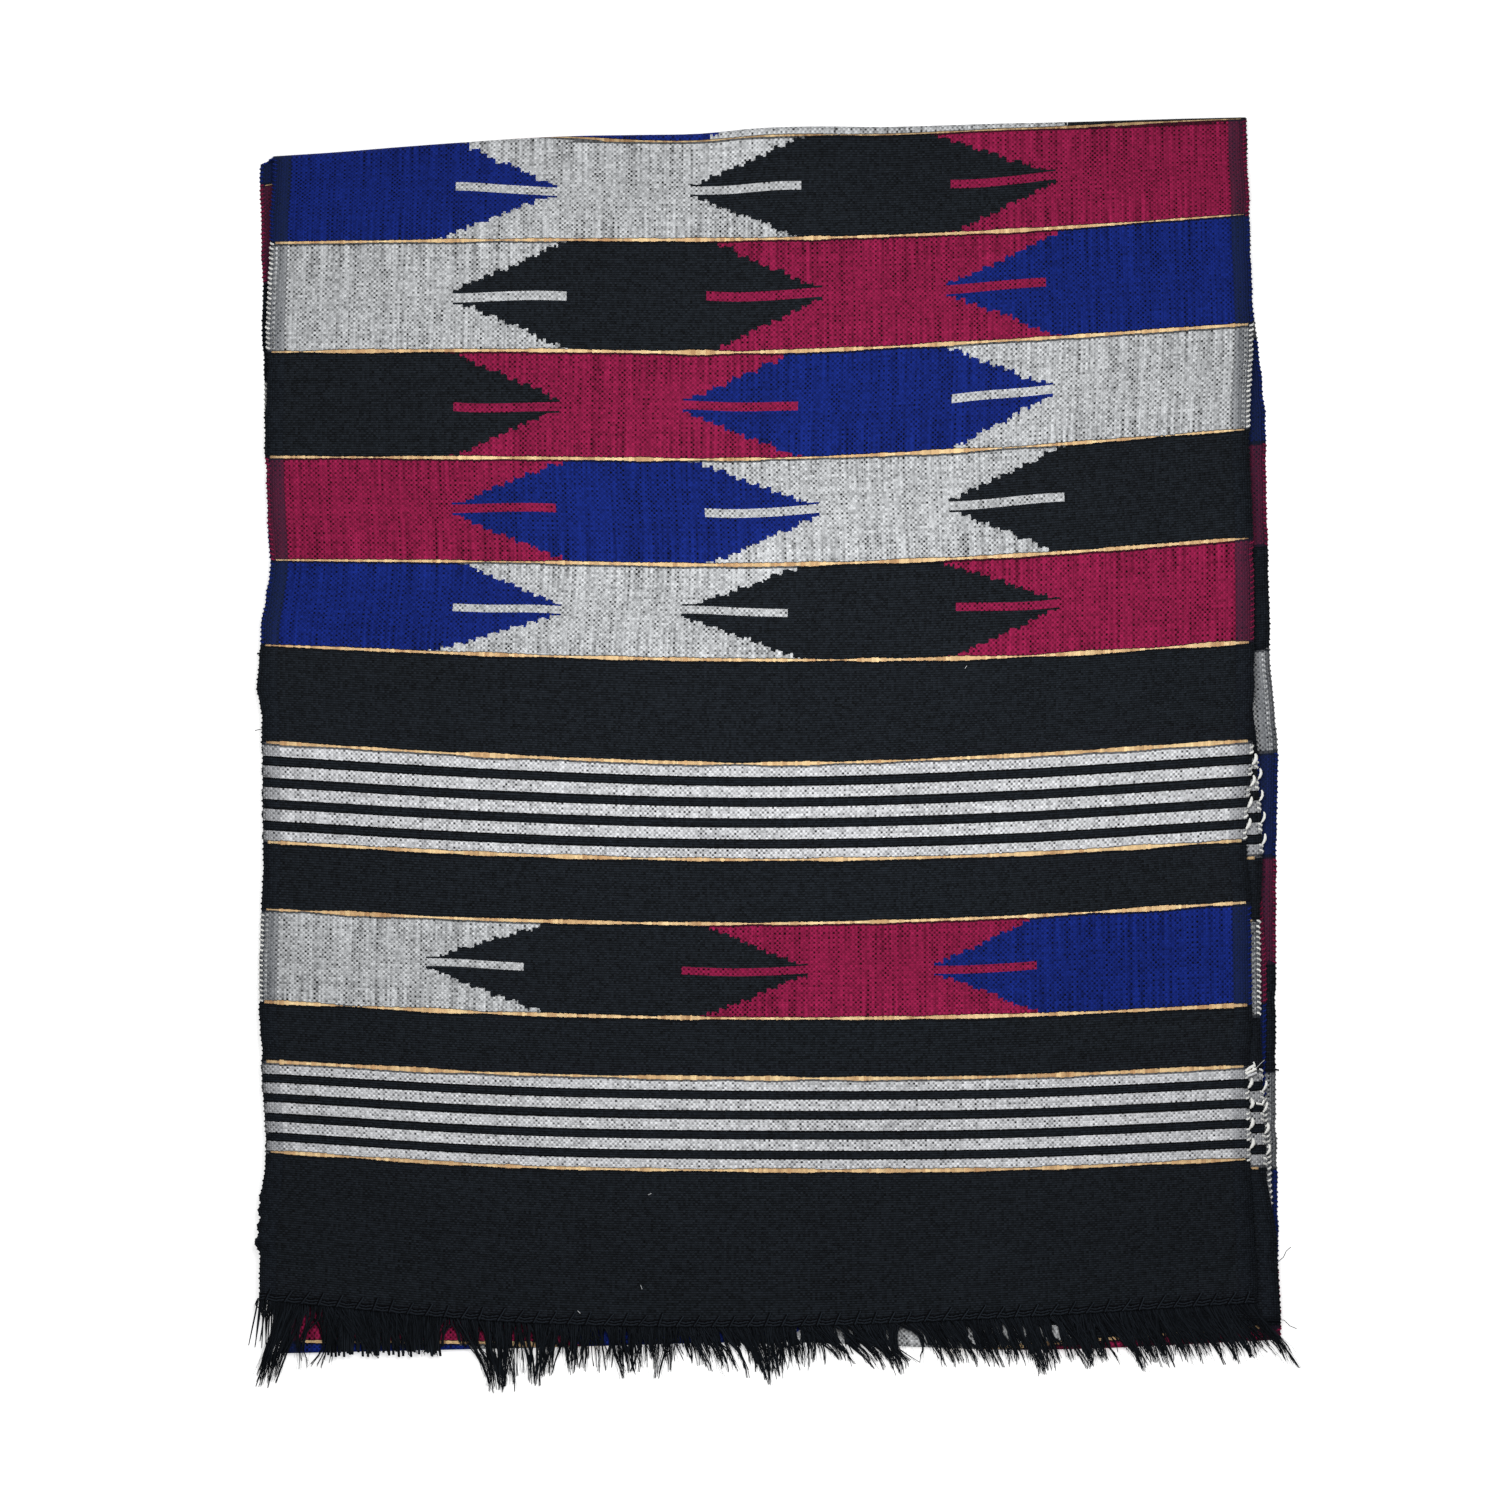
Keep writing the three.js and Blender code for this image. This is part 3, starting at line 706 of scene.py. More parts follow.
def lozenge_colour(work, spot):
    """A lozenge band: four fields that meet at three stepped points, each with its slit. It gives the
    colour, the number of that colour and the distance from the band's middle."""
    index = spot.index
    before, after = index < -0.5, index > BANDS - 0.5
    kind = (index + 3 * before + after) % 4
    odd = kind % 2
    lone = before + after
    from_middle = (spot.part - 0.5) * BAND_HEIGHT
    wander = (work.drift(spot.across * 0.016, index * 7.3, detail=0.0) - 0.5) * SLIT_WANDER
    from_slit = abs(from_middle - wander)
    in_slit = from_slit < SLIT_HALF
    in_prong = from_slit < PRONG_HALF
    tooth = (work.scatter(spot.column, index, 5.0) - 0.5) * TOOTH_RAGGED
    steps = ((abs(from_middle) - PRONG_HALF + tooth) / STEP_ALONG).floor() + 1
    steps = steps.most(0) * (1 - in_prong)
    half_band = (from_middle > 0) * 20

    def passed(border):
        """1 to the right of a border and 0 to the left."""
        number = border.number
        ragged = (work.scatter(index, steps + half_band, number) - 0.5) * STEP_RAGGED
        shift = (work.scatter(index, number, 0.5) - 0.5) * TIP_UNEVEN + lone * border.lone_shift
        slope = STEEPEST + work.scatter(index, half_band, number + 0.3) * SLOPE_UNEVEN
        stepped = steps * STEP_ACROSS * slope + ragged * (steps > 0.5)
        slit = SLIT_LENGTH + (work.scatter(index, number, 0.8) - 0.5) * SLIT_UNEVEN + lone * border.lone_slit
        reach = stepped + in_slit * (slit - stepped)
        points_right = 1 - (kind + number) % 2
        tip = border.even_tip + odd * (border.odd_tip - border.even_tip) + shift
        return spot.across > tip + reach * (1 - 2 * points_right)

    field = sum(passed(border) for border in BORDERS)
    turn = (field - kind) % 4
    colour = LOZENGE_COLOURS[0]
    for number, yarn in enumerate(LOZENGE_COLOURS[1:], 1):
        colour = work.blend(turn.is_near(number), colour, yarn)
    return colour, turn, abs(from_middle)


def stripes(work, spot):
    """Where a striped section is white, and where painted shade darkens its black stripes along their edges.
    """
    striped = spot.among(STRIPED)
    cycle = spot.part / STRIPE_CYCLE + (work.scatter(spot.column, spot.index, 2.0) - 0.5) * STRIPE_RAGGED
    in_cycle = cycle - cycle.floor()
    white = striped * ((in_cycle < WHITE_SHARE) + (spot.part > LAST_WHITE)).least(1)
    inside_black = (1 - WHITE_SHARE) / 2 - abs(in_cycle - (1 + WHITE_SHARE) / 2)
    # The second value marks the painted shade just inside each black stripe's edges
    return white, striped * (1 - white) * (inside_black < STRIPE_SHADE)


def weave_light(work, spot, pale, dark, near_gold):
    """How light the weave is at each crossing of its yarns: the yarns' own unevenness and the warp that
    shows, with a painted highlight on each weft's crown and painted highlight and shade across the pleats
    and, in the black, the ribs.
    """
    streak = work.drift(spot.column * 0.71, spot.along * 0.035, detail=1.0)
    show = ((streak - 0.38) * 3.2).most(0).least(1)
    cloud = work.drift(spot.across * 0.02, spot.along * 0.02, detail=2.0) - 0.5
    tone = work.drift(spot.across * 0.012, spot.pick * 0.9, detail=0.0) - 0.5
    slub = work.drift(spot.across * 0.22, spot.pick * 3.7, detail=0.0) - 0.5
    warp_shows = (1 - spot.weft_up) * spot.dome * (0.25 + 0.75 * show) * (1 - dark * 0.6)
    warp_shade = WARP_SHADE - pale * (WARP_SHADE - PALE_WARP_SHADE)
    # Painted highlight on each weft's crown
    light = EVEN_LIGHT + spot.weft_up * spot.dome * WEFT_HIGHLIGHT - warp_shows * warp_shade
    light = light + spot.crossing * (CROSSING_DEPTH + pale * 0.2)
    # Painted highlight and shade across the pleats, stronger towards the gold lines and not in the black
    light = light + spot.pleat * (PLEAT_SHADING + near_gold * 1.1) * (1 - dark)
    light = light + cloud * CLOUD_DEPTH + tone * TONE_DEPTH + slub * SLUB_DEPTH
    # Painted highlight and shade along the ribs, in the black only
    rib = (spot.ridge - 0.6) * (RIB_SHADING + slub * 1.5)
    return light + dark * (rib + spot.crossing * 0.5)


def gold_lines(work, spot):
    """The gold yarns between the sections: where they lie, where the painted shadows along them lie, and
    their colour.
    """
    section = spot.section
    line = (section + 0.5).floor()
    from_line = section - line
    gap = abs(from_line) * spot.band_mm
    patterned = (section > -LAST_GOLD) * (section < BANDS + LAST_GOLD)
    at_fold = line.is_near(TOP_FOLD_LINE)
    swelling = (work.drift(spot.across * 0.03, line * 9.7, detail=1.0) - 0.5) * GOLD_UNEVEN
    half = GOLD_HALF_WIDTH + swelling + (work.scatter(spot.column, line, 1.0) - 0.5) * GOLD_RAGGED
    half = half * (1 - spot.selvedge * 0.35) * (1 - at_fold * 0.55)
    # A painted shadow along each gold line, wider below it
    rim = (gap < half + GOLD_SHADOW + (from_line < 0) * GOLD_SHADOW_BELOW) * patterned
    inside_stack = (section > TOP_FOLD_LINE + 0.5) * (section < BANDS - 0.5)
    free_edge = GOLD_FREE_EDGE + inside_stack * GOLD_FREE_INSIDE + (section > BANDS - 0.5) * GOLD_FREE_UNDER
    gold = (gap < half) * patterned * (spot.from_edge > free_edge)
    share = work.scatter((spot.across / GOLD_DASH).floor(), line) * 0.45
    share = share + work.drift(spot.across * 0.04, line * 3.1) * 0.55
    light = 0.75 + share * 0.45 + (work.scatter(spot.column, line, 4.0) - 0.5) * 0.3 - at_fold * 0.3
    return gold, rim, work.shaded(work.blend(share, GOLD_DEEP, GOLD_PALE), light)


def selvedge_colour(work, spot, colour, white, pale, dark):
    """The side edges, where the closer warp hides most of the weft's colour."""
    in_bead = (spot.along / SELVEDGE_LOOP_PITCH) % 1 < 0.55
    beads = spot.selvedge * (spot.from_edge > BEADS_BEGIN) * (spot.from_edge < BEADS_END) * in_bead
    inward = spot.from_edge / SELVEDGE_WIDTH
    covered = 0.68 + spot.crossing * 0.2 - white * 0.34 - (pale - white) * (inward * 0.3 + beads * 0.6)
    colour = work.blend(spot.selvedge * covered * (1 - dark * 0.88), colour, WARP)
    rim = (abs(spot.from_edge - SELVEDGE_WIDTH) < SELVEDGE_RIM) * (1 - spot.weft_up)
    return work.blend(rim * 0.5 * (1 - white), colour, SHADE)


def woven_cotton():
    """The cloth's own pattern and weave, all read from its place across and along the cloth."""
    work = Work("woven_cotton")
    spot = Spot(work)
    colour, turn, from_middle = lozenge_colour(work, spot)
    lozenges = (spot.index > -0.5) * (spot.index < BANDS - 0.5) + spot.among(LONE_BANDS)
    white, stripe_shade = stripes(work, spot)
    colour = work.blend(lozenges, work.blend(white, BLACK, WHITE), colour)
    grey, black = (turn.is_near(LOZENGE_COLOURS.index(yarn)) for yarn in (GREY, BLACK))
    pale = (grey * lozenges + white).least(1)
    dark = (black * lozenges + (1 - lozenges) * (1 - white)).least(1)
    near_gold = (from_middle / 22 - 0.2).most(0).least(1) * lozenges
    # Painted shade along the black stripes' edges
    light = weave_light(work, spot, pale, dark, near_gold) - stripe_shade * STRIPE_SHADE_DEPTH
    colour = work.shaded(colour, light)

    gold, gold_shadow, gold_colour = gold_lines(work, spot)
    # Painted shadow along the gold lines, in the shade colour
    colour = work.blend(gold_shadow * GOLD_SHADOW_DEPTH, colour, SHADE)
    colour = selvedge_colour(work, spot, colour, white, pale, dark)
    colour = work.blend(gold * (1 - spot.selvedge * 0.25), colour, gold_colour)

    work.set(Base_Color=colour, Roughness=0.9, Specular_IOR_Level=0.12)
    relief = spot.dome * (0.6 + spot.weft_up * 0.4) + gold * 0.9 - gold_shadow * (1 - gold) * 0.8
    work.relief(relief + spot.pleat * near_gold, 0.25 * MM)
    return work.material


def yarn_cotton():
    """Loose yarn, whose colour comes with each strand."""
    work = Work("loose_cotton_yarn")
    spot = work.node("ShaderNodeTexCoord", {}, output=OBJECT_OUTPUT)
    grain = work.node("ShaderNodeTexNoise", {}, spot, None, FUZZ_SCALE, 2.0)
    light = 1 - FUZZ + grain * (2 * FUZZ)
    colour = work.shaded(work.attribute("tone", COLOUR_OUTPUT), light)
    work.set(Base_Color=colour, Roughness=0.92, Specular_IOR_Level=0.1)
    work.relief(grain, 0.1 * MM)
    return work.material


# Yarn: paths that Geometry Nodes give their roundness
def yarn_tree():
    tree = bpy.data.node_groups.new("yarn along its path", "GeometryNodeTree")
    face = tree.interface
    face.new_socket("Path", in_out="INPUT", socket_type="NodeSocketGeometry")
    face.new_socket("Sides", in_out="INPUT", socket_type="NodeSocketInt")
    face.new_socket("Cotton", in_out="INPUT", socket_type="NodeSocketMaterial")
    face.new_socket("Yarn", in_out="OUTPUT", socket_type="NodeSocketGeometry")
    new = tree.nodes.new
    start, end = new("NodeGroupInput"), new("NodeGroupOutput")
    curve, round_it = new("GeometryNodeMeshToCurve"), new("GeometryNodeCurveToMesh")
    ring, thick = new("GeometryNodeCurvePrimitiveCircle"), new("GeometryNodeInputNamedAttribute")
    smooth, realize = new("GeometryNodeSetShadeSmooth"), new("GeometryNodeRealizeInstances")
    finish = new("GeometryNodeSetMaterial")
    thick.data_type = "FLOAT"
    thick.inputs["Name"].default_value = "thick"
    ring.inputs["Radius"].default_value = 1.0
    round_it.inputs["Fill Caps"].default_value = True
    for one, other in (
        (start.outputs["Path"], curve.inputs["Mesh"]),
        (curve.outputs["Curve"], round_it.inputs["Curve"]),
        (start.outputs["Sides"], ring.inputs["Resolution"]),
        (ring.outputs["Curve"], round_it.inputs["Profile Curve"]),
        (thick.outputs["Attribute"], round_it.inputs["Scale"]),
        (round_it.outputs["Mesh"], smooth.inputs["Geometry"]),
        (smooth.outputs["Geometry"], realize.inputs["Geometry"]),
        (realize.outputs["Geometry"], finish.inputs["Geometry"]),
        (start.outputs["Cotton"], finish.inputs["Material"]),
        (finish.outputs["Geometry"], end.inputs["Yarn"]),
    ):
        tree.links.new(one, other)
    return tree


class Yarns:
    """A piece made of many yarns."""

    def __init__(self):
        self.points, self.edges, self.thick, self.tone = [], [], [], []

    def lay(self, points, thick, tone):
        """One yarn through points in millimetres, with its radius at each and its colour."""
        first = len(self.points)
        self.points.extend(points)
        self.edges.extend((first + step, first + step + 1) for step in range(len(points) - 1))
        self.thick.extend(thick if hasattr(thick, "__len__") else [thick] * len(points))
        self.tone.extend([tone] * len(points))

    def finish(self, name, tree, cotton, sides):
        paths = bpy.data.meshes.new(name + "_paths")
        paths.from_pydata(np.asarray(self.points) * MM, self.edges, [])
        float_attribute(paths, "thick", np.asarray(self.thick) * MM)
        tones = paths.attributes.new("tone", "FLOAT_COLOR", "POINT")
        tones.data.foreach_set("color", np.asarray(self.tone, np.float32).ravel())
        ob = finished_object(name, paths)
        modifier = ob.modifiers.new("yarn", "NODES")
        modifier.node_group = tree
        for socket in tree.interface.items_tree:
            if socket.name == "Sides":
                modifier[socket.identifier] = sides
            elif socket.name == "Cotton":
                modifier[socket.identifier] = cotton
        graph = bpy.context.evaluated_depsgraph_get()
        made = bpy.data.meshes.new_from_object(
            ob.evaluated_get(graph), preserve_all_data_layers=True, depsgraph=graph)
        ob.modifiers.clear()
        ob.data = made
        made.name = name
        bpy.data.meshes.remove(paths)
        return ob


def share_across(line, x):
    return (x - line.left) / (line.right - line.left)


def end_y(line, x):
    """Where a line across the cloth runs at one x."""
    return float(at_stations(line.y, share_across(line, x)))


def parted(x, y, root, tip):
    """Moves a yarn aside where the fringe parts, to the side that the yarn heads for."""
    for glimpse in GLIMPSES:
        heading = lerp(root[0], tip[0], min((root[1] - glimpse.y) / (root[1] - tip[1]), 1.0))
        side = math.copysign(1.0, heading - glimpse.x)
        gap = (x - glimpse.x) * side
        if gap < 2 * glimpse.half:
            near = max(0.0, 1 - ((y - glimpse.y) / glimpse.reach) ** 2)
            return x + side * near * (glimpse.half + max(gap, 0.0) / 2 - gap)
    return x


def lying_height(y, root_y, root_z, fold_y, lift):
    """How high a yarn lies: from its root onto the layer below, over the lower fold, down to the floor."""
    second = HALF + SECOND_LEVEL * LAYER_PITCH + HALF
    height = lerp(root_z, second + lift, eased(min((root_y - y) / SETTLING, 1.0)))
    past = (fold_y + 1.0 - y) / FOLD_DROP
    if past > 0:
        height = lerp(height, ABOVE_FLOOR + lift * 0.5, eased(min(past, 1.0)))
    return height


def fringe_tuft(yarns, tuft, end, level, luck):
    """One tuft of cut warp yarns, in strands that leave the cloth side by side, lean together and fray."""
    strands = max(1, round(tuft.yarns * FULLNESS / STRAND_YARNS))
    for strand in range(strands):
        middle = (strand + 0.5) / strands
        order = middle if luck.random() < STRANDS_IN_ORDER else luck.random()
        aim_x = tuft.tip_x + (order - 0.5) * tuft.spread * TIP_SPREAD
        aim_y = tuft.tip_y - TIP_REACH + luck.random() ** 1.7 * STRAND_DROP
        strand_bend, strand_curl = luck.gauss(0, STRAND_BEND), luck.gauss(0, STRAND_CURL)
        phase = luck.uniform(0, 6.28)
        for _ in range(STRAND_YARNS):
            kind = THICK_YARN if luck.random() < THICK_SHARE else FINE_HAIR
            share = middle + luck.uniform(-0.6, 0.6) / strands
            root_x = min(max(lerp(tuft.first, tuft.last, share), end.left + 0.3), end.right - 0.3)
            root_y = end_y(end, root_x) + ROOT_DEPTH
            root_z = height_at(level, root_x, root_y) + luck.uniform(-0.5, 0.4)
            tip_y = min(aim_y + luck.random() ** 1.6 * kind.cut, root_y - SHORTEST_YARN)
            reach = min((root_y - tip_y) / (root_y - min(aim_y, root_y - SHORTEST_YARN)), 1.0)
            tip_x = lerp(root_x, aim_x, reach**0.85) + luck.gauss(0, kind.aside) * reach
            bend = strand_bend + luck.gauss(0, YARN_BEND)
            curl = strand_curl + luck.gauss(0, kind.curl)
            lay_fringe_yarn(yarns, (root_x, root_y, root_z), (tip_x, tip_y), bend, curl, phase, kind, luck)


def lay_fringe_yarn(yarns, root, tip, bend, curl, phase, kind, luck):
    fold_y = end_y(FLOOR_LAYER[-1], root[0])
    lift = luck.uniform(0.3, 2.4)
    stray = kind is FINE_HAIR and luck.random() < STRAY_SHARE
    points, radii = [], []
    for step in range(YARN_STEPS + 1):
        t = step / YARN_STEPS
        aside = bend * math.sin(math.pi * t) + curl * t * t * math.sin(phase + CURL_TURN * t)
        x = lerp(root[0], tip[0], lerp(t, eased(t), 0.45)) + aside
        y = lerp(root[1], tip[1], t)
        if not stray:
            x = parted(x, y, root, tip)
        points.append((x, y, lying_height(y, root[1], root[2], fold_y, lift)))
        radii.append(kind.radius * (1 - 0.5 * t))
    yarns.lay(points, radii, tinted(BLACK, luck.uniform(0.5, 2.0)))


def fringe_roots(yarns, end, level, luck):
    """Short thick yarns that close the fringe just below the cloth's end."""
    for root_x in np.arange(end.left + 0.6, end.right - 0.6, ROOT_PITCH).tolist():
        root_y = end_y(end, root_x) + ROOT_DEPTH
        root_z = height_at(level, root_x, root_y) - 0.4
        tip_x = root_x + ROOT_LEAN * share_across(end, root_x) - 1.0
        tip_y = luck.uniform(*ROOT_TIPS_Y)
        aside, shape = ROOT_ASIDE, ROOT_SHAPE
        if LONG_ROOTS_X[0] < root_x < LONG_ROOTS_X[1]:
            aside, shape = LONG_ROOT_ASIDE, LONG_ROOT_SHAPE
            tip_y -= LONG_ROOTS_MORE
        tip_x += luck.gauss(0, aside)
        points = []
        for t in (0.0, 0.3, 0.6, 1.0):
            x, y = lerp(root_x, tip_x, t), lerp(root_y, tip_y, t)
            x = parted(x, y, (root_x, root_y), (tip_x, tip_y))
            points.append((x, y, lying_height(y, root_y, root_z, LOWER_FOLD_Y[0], 1.0)))
        yarns.lay(points, [ROOT_RADIUS * share for share in shape], tinted(BLACK, luck.uniform(0.4, 1.9)))


def top_fringe(luck, tree, cotton):
    yarns = Yarns()
    fringe_roots(yarns, TOP_LAYER[0], TOP_LEVEL, luck)
    for tuft in TUFTS:
        fringe_tuft(yarns, tuft, TOP_LAYER[0], TOP_LEVEL, luck)
    return yarns.finish("fringe_yarns_top", tree, cotton, sides=3)


def under_fringe(luck, tree, cotton):
    """The other end's fringe, much like the first one but further right, thinner and shorter."""
    yarns = Yarns()
    for tuft in TUFTS:
        if tuft.last < UNDER_FRINGE_LAST:
            shifted = tuft._replace(
                first=tuft.first + UNDER_FRINGE_SHIFT,
                last=tuft.last + UNDER_FRINGE_SHIFT,
                tip_x=tuft.tip_x + UNDER_FRINGE_SHIFT,
                tip_y=tuft.tip_y + UNDER_FRINGE_SHORTER,
                yarns=tuft.yarns * UNDER_FRINGE_SHARE,
            )
            fringe_tuft(yarns, shifted, THIRD_LAYER[-1], THIRD_LEVEL, luck)
    return yarns.finish("fringe_yarns_under", tree, cotton, sides=3)


# The yarns that hold and edge the cloth
def top_surface(x, y):
    return height_at(TOP_LEVEL, x, y) + HALF


def hem_stitches(tree, cotton, luck):
    """Slanted stitches over the cloth's end, and the twined cord that runs through them, both lightened as
    painted highlights, each with a thin dark yarn beside it as painted shadow.
    """
    end = TOP_LAYER[0]
    yarns = Yarns()
    count = round((end.right - end.left) / STITCH_PITCH)
    stitches = [end.left + (number + 0.5) * STITCH_PITCH + luck.uniform(-0.7, 0.7) for number in range(count)]
    for x in stitches:
        height, lean = STITCH_HEIGHT * luck.uniform(0.8, 1.1), STITCH_LEAN * luck.uniform(0.6, 1.3)
        # The stitch, lightened as a painted highlight, then a thin dark yarn beside it as its painted shadow
        for aside, radius, colour, proud in (
            (0.0, STITCH_RADIUS, BLACK, 0.3),
            (STITCH_SHADOW_ASIDE, STITCH_SHADOW_RADIUS, SHADE, 0.15),
        ):
            points = []
            for t in (0.0, 0.2, 0.4, 0.6, 0.8, 1.0):
                place = (x + aside + lean * t, end_y(end, x) + 0.3 + height * t)
                rise = math.sin(math.pi * min(1.0, 0.12 + t * 0.88)) ** 0.5 * 0.3
                points.append((*place, top_surface(*place) - 0.1 + rise + proud))
            yarns.lay(points, radius, tinted(colour, luck.uniform(1.5, 2.1) if colour is BLACK else 0.4))
    for number, above in enumerate(CORD_HEIGHTS):
        points, shades, radii = [], [], []
        for x in np.arange(end.left + 1.0, end.right - 1.0, CORD_STEP).tolist():
            nearest = min(stitches, key=lambda stitch: abs(stitch - x))
            sag = min(abs(x - nearest) / STITCH_PITCH * 2, 1.0)
            y = end_y(end, x) + above + CORD_SAG * (1 - sag)
            twist = math.sin(x * CORD_TWIST + number * STRAND_TWIST)
            points.append((x, y + 0.12 * twist, top_surface(x, y) + 0.15 * twist))
            shades.append((x, y + CORD_SHADOW_ABOVE, top_surface(x, y) + 0.2))
            radii.append(CORD_RADIUS * (0.9 + 0.25 * twist))
        # The cord strand, lightened as a painted highlight, and a thin dark yarn above it as its painted
        # shadow
        yarns.lay(points, radii, tinted(BLACK, 1.7))
        yarns.lay(shades, CORD_SHADOW_RADIUS, tinted(SHADE, 0.4))
    return yarns.finish("hem_stitches", tree, cotton, sides=5)


def edge_colour(section, side):
    """The colour of the weft that turns at a side edge."""
    index = math.floor(section)
    if 0 <= index < BANDS or index in LONE_BANDS:
        kind = (index + 3 * (index < 0) + (index >= BANDS)) % 4
        field = 0 if side < 0 else len(BORDERS)
        return LOZENGE_COLOURS[(field - kind) % 4]
    if index in STRIPED and (section - index) / STRIPE_CYCLE % 1 < WHITE_SHARE:
        return WHITE
    return BLACK


def tinted(colour, light):
    return tuple(part * light for part in colour[:3]) + (1.0,)


def selvedge_loops(rows, tree, cotton, luck):
    """The wefts' turns down both side edges, in the colour of the band that they belong to."""
    yarns = Yarns()
    for side, column in ((-1, 0), (1, -1)):
        edge = [values[:, column] for values in (rows.x, rows.y, rows.z, rows.section)]
        for along in np.arange(1.0, rows.along[-1] - 1.0, SELVEDGE_LOOP_PITCH):
            ahead = [float(np.interp(along + 1.0, rows.along, values)) for values in edge]
            behind = [float(np.interp(along - 1.0, rows.along, values)) for values in edge]
            colour, radius = edge_colour((ahead[3] + behind[3]) / 2, side), LOOP_RADIUS
            on_floor = np.interp(along, rows.along, rows.level[:, 0]) < SECOND_LEVEL
            if colour is WHITE and side < 0 or colour is GREY and side > 0 and on_floor:
                colour = tinted(GREY, 0.25)
            elif colour is WHITE or colour is GREY:
                colour, radius = CREAM, LOOP_RADIUS * PALE_LOOP_SWELLING
            out = luck.uniform(0.0, 0.4)
            points = []
            for share, reach, rise in (
                (0.1, -1.6, 0.45), (0.25, -0.5, 0.6), (0.55, out, 0.25), (0.9, -0.7, -0.4),
            ):
                x, y, z, _ = (lerp(one, other, share) for one, other in zip(behind, ahead))
                points.append((x + side * reach, y, max(z + rise, radius)))
            yarns.lay(points, radius, tinted(colour, luck.uniform(0.7, 1.1)))
    return yarns.finish("selvedge_loops", tree, cotton, sides=4)


def carried_wefts(rows, tree, cotton, luck):
    """White wefts carried past the black stripes at the right edges, black ones past the white stripes."""
    yarns = Yarns()
    edges = []
    for column in (0, -1):
        order = np.flatnonzero(rows.level[:, 0] > SECOND_LEVEL + 0.01)
        order = order[np.argsort(rows.section[order, column])]
        paths = [values[order, column] for values in (rows.x, rows.y, rows.z)]
        edges.append((rows.section[order, column], rows.level[order, 0], paths))
    for start in STRIPED:
        for number in range(STRIPES):
            white = number % 2
            sections, levels, paths = edges[white]
            begins, ends = (WHITE_SHARE, 1) if white else (0, WHITE_SHARE)
            middle = start + (number // 2 + (begins + ends) / 2) * STRIPE_CYCLE
            reach = WHITE_CARRIED_REACH if white else BLACK_CARRIED_REACH
            half = (ends - begins) / 2 * STRIPE_CYCLE * reach
            on_top = levels[np.argmin(abs(sections - middle))] > TOP_LEVEL - 0.5
            out, slant = luck.uniform(0.3, 1.1), luck.uniform(0.4, 2.4)
            points = []
            for share in (0.0, 0.2, 0.5, 0.8, 1.0):
                at = middle + half * (2 * share - 1)
                x, y, z = (float(np.interp(at, sections, path)) for path in paths)
                bow = math.sin(math.pi * share)
                if white:
                    downward = share if start < 0 else 1 - share
                    x += 0.8 + out * bow + slant * (downward - 0.5)
                    z += (0.2 if on_top else 0.5) + 0.75 * bow ** 0.4
                else:
                    x -= out * bow - 0.9
                    z += 0.2
                points.append((x, y, z))
            thick = WHITE_CARRIED_RADIUS * luck.uniform(0.85, 1.05) * (1.0 if on_top else 0.8)
            radius = thick if white else BLACK_CARRIED_RADIUS
            yarns.lay(points, [radius * share for share in CARRIED_SHAPE], CREAM if white else BLACK)
    return yarns.finish("carried_wefts", tree, cotton, sides=7)


def stray_yarns(tree, cotton):
    """Loose ends and specks of lint that anyone would brush off."""
    yarns = Yarns()
    for points, thick, colour in (
        ([(254.5, -256.5, 5), (257.5, -254.0, 4.6), (259.0, -251.0, 4), (261.5, -249.0, 3.2)], 0.2, BLACK),
        ([(254.5, -285.5, 4.6), (258.0, -286.0, 3.8), (261.0, -289.0, 2.8), (264.5, -290.5, 2)], 0.2, BLACK),
        ([(252.6, -159.4, 2.0), (254.0, -159.3, 2.3), (255.6, -159.6, 2.0)], 0.5, BLACK),
        ([(-258.5, 51.0, 6.2), (-260.0, 51.4, 6.0), (-261.4, 51.2, 5.6)], 0.5, BLACK),
        ([(-258.4, 12.6, 6.6), (-260.2, 12.9, 6.2), (-262.6, 12.4, 5.6)], 0.2, BLACK),
        ([(238.0, -159.6, 7.9), (240.0, -157.8, 8.5), (242.6, -156.6, 8.2)], 0.85, CREAM),
        ([(238.4, -161.0, 7.9), (240.6, -159.6, 8.6), (243.2, -158.4, 8.0)], 0.8, CREAM),
        ([(239.0, -162.2, 7.9), (241.2, -161.2, 8.3), (243.4, -160.4, 7.6)], 0.7, WHITE),
        ([(241.6, -158.6, 8.2), (242.4, -156.4, 8.2), (241.9, -155.0, 7.8)], 0.45, CREAM),
        ([(243.4, -158.0, 7.4), (245.6, -155.9, 6.8), (247.6, -154.2, 6.0)], 0.16, GREY),
        ([(243.5, -176.0, 6.0), (246.5, -176.5, 6.6), (247.5, -174.5, 6.2)], 0.7, CREAM),
    ):
        yarns.lay(points, thick, colour)
    for x, y, length, turn in (
        (-62.9, -221.7, 0.9, 0.4),
        (-67.2, -268.7, 1.1, 1.9),
        (96.7, 44.4, 0.8, 1.0),
        (-98.7, -281.3, 0.9, 2.4),
    ):
        points = []
        for way, rise in ((-1, 0.25), (0, 0.45), (1, 0.25)):
            place = (x + way * math.cos(turn) * length, y + way * math.sin(turn) * length)
            points.append((*place, top_surface(*place) + rise))
        yarns.lay(points, 0.2, GREY)
    return yarns.finish("stray_yarns", tree, cotton, sides=5)


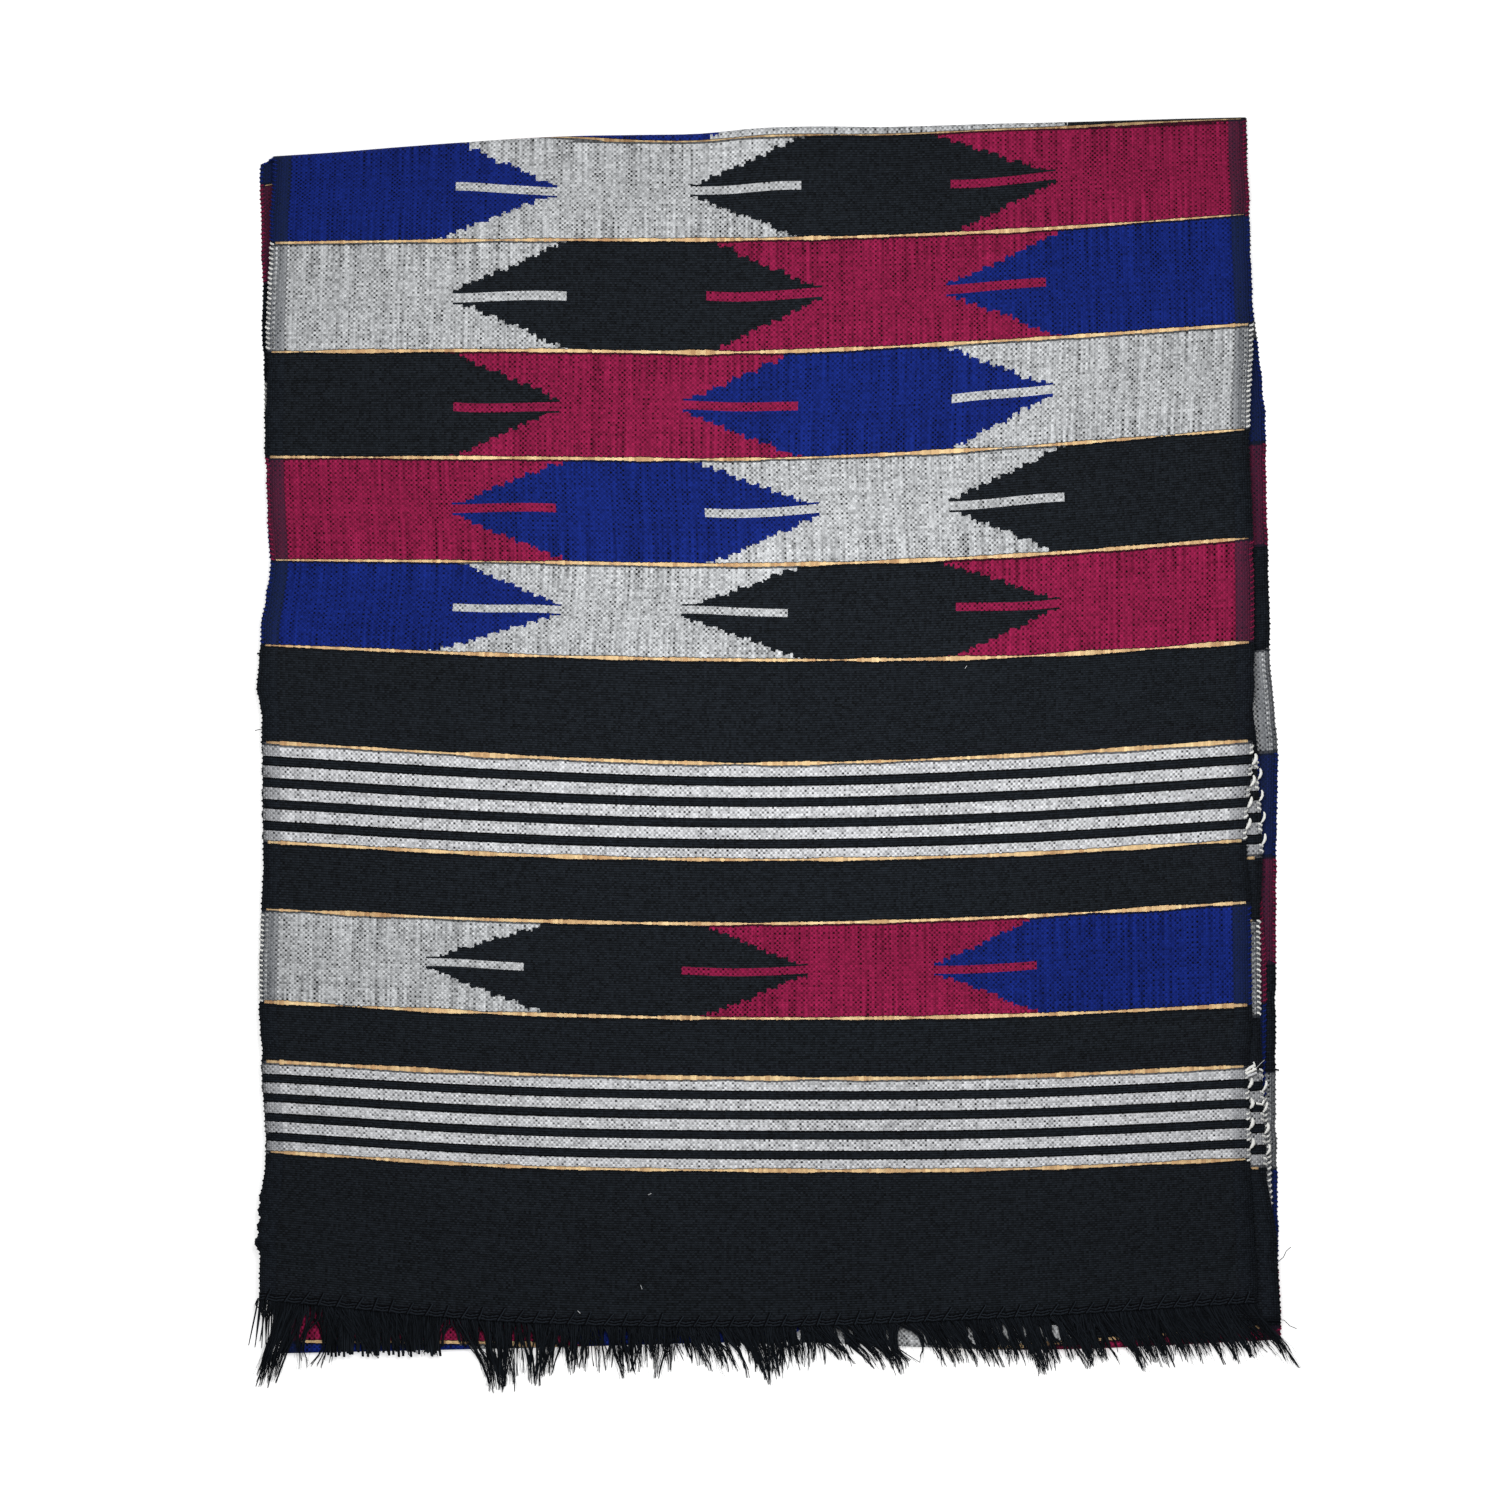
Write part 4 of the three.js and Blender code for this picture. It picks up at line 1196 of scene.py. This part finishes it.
def main():
    rows = folded_rows()
    cloth = finished_object("cloth_sheet", cloth_mesh(rows))
    cloth.data.materials.append(woven_cotton())
    tree = yarn_tree()
    yarn = yarn_cotton()
    luck = random.Random(SEED)
    top = top_fringe(luck, tree, yarn)
    under = under_fringe(luck, tree, yarn)
    trims = [
        hem_stitches(tree, yarn, luck),
        selvedge_loops(rows, tree, yarn, luck),
        carried_wefts(rows, tree, yarn, luck),
        stray_yarns(tree, yarn),
    ]
    for piece, node, slot in (
        (cloth, "cloth", "woven_cotton"),
        (top, "fringe_top", "fringe_yarn"),
        (under, "fringe_under", "fringe_yarn"),
    ):
        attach(piece, "root")
        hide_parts(node)
    for piece in trims:
        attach(piece, "root")


# The room
PICTURE_SIDE = 1512
MM_A_PIXEL = 0.505
LENS, SENSOR = 85.0, 36.0
VIEW_CENTRE = (-9.3, -0.5)
TOP_OF_CLOTH = 7.6
FLOOR_SIDE = 6.0
FLOOR_GLOW = 0.55
WORLD_LIGHT = 0.25

# Each light's name, its place and the length of its side in metres, and its power
LIGHTS = [
    ("soft_box_above", (0.04, 0.1, 0.62), 0.4, 3.6),
    ("left_light", (-1.2, 0.9, 1.6), 1.2, 8.5),
]


def room():
    scene = bpy.context.scene
    scene.view_settings.view_transform = "Standard"
    camera = bpy.data.objects.new("camera", bpy.data.cameras.new("camera"))
    camera.data.lens, camera.data.sensor_width = LENS, SENSOR
    distance = TOP_OF_CLOTH + PICTURE_SIDE * MM_A_PIXEL * LENS / SENSOR
    camera.location = Vector((*VIEW_CENTRE, distance)) * MM
    scene.collection.objects.link(camera)
    scene.camera = camera

    mesh = bpy.data.meshes.new("floor")
    half = FLOOR_SIDE / 2
    corners = [(-half, -half, 0), (half, -half, 0), (half, half, 0), (-half, half, 0)]
    mesh.from_pydata(corners, [], [(0, 1, 2, 3)])
    floor = finished_object("floor", mesh)
    floor.location.z = -0.1 * MM
    paint = Work("pale_floor")
    paint.set(Base_Color=(0.9, 0.9, 0.9, 1.0), Roughness=0.9, Specular_IOR_Level=0.1)
    paint.set(Emission_Color=(1.0, 1.0, 1.0, 1.0), Emission_Strength=FLOOR_GLOW)
    mesh.materials.append(paint.material)

    world = bpy.data.worlds.new("studio")
    world.use_nodes = True
    world.node_tree.nodes["Background"].inputs["Color"].default_value = (1, 1, 1, 1)
    world.node_tree.nodes["Background"].inputs["Strength"].default_value = WORLD_LIGHT
    scene.world = world
    for name, place, side, power in LIGHTS:
        light = bpy.data.lights.new(name, "AREA")
        light.energy, light.size = power, side
        lamp = bpy.data.objects.new(name, light)
        lamp.location = place
        lamp.rotation_euler = (-Vector(place)).to_track_quat("-Z", "Y").to_euler()
        scene.collection.objects.link(lamp)


room()
main()
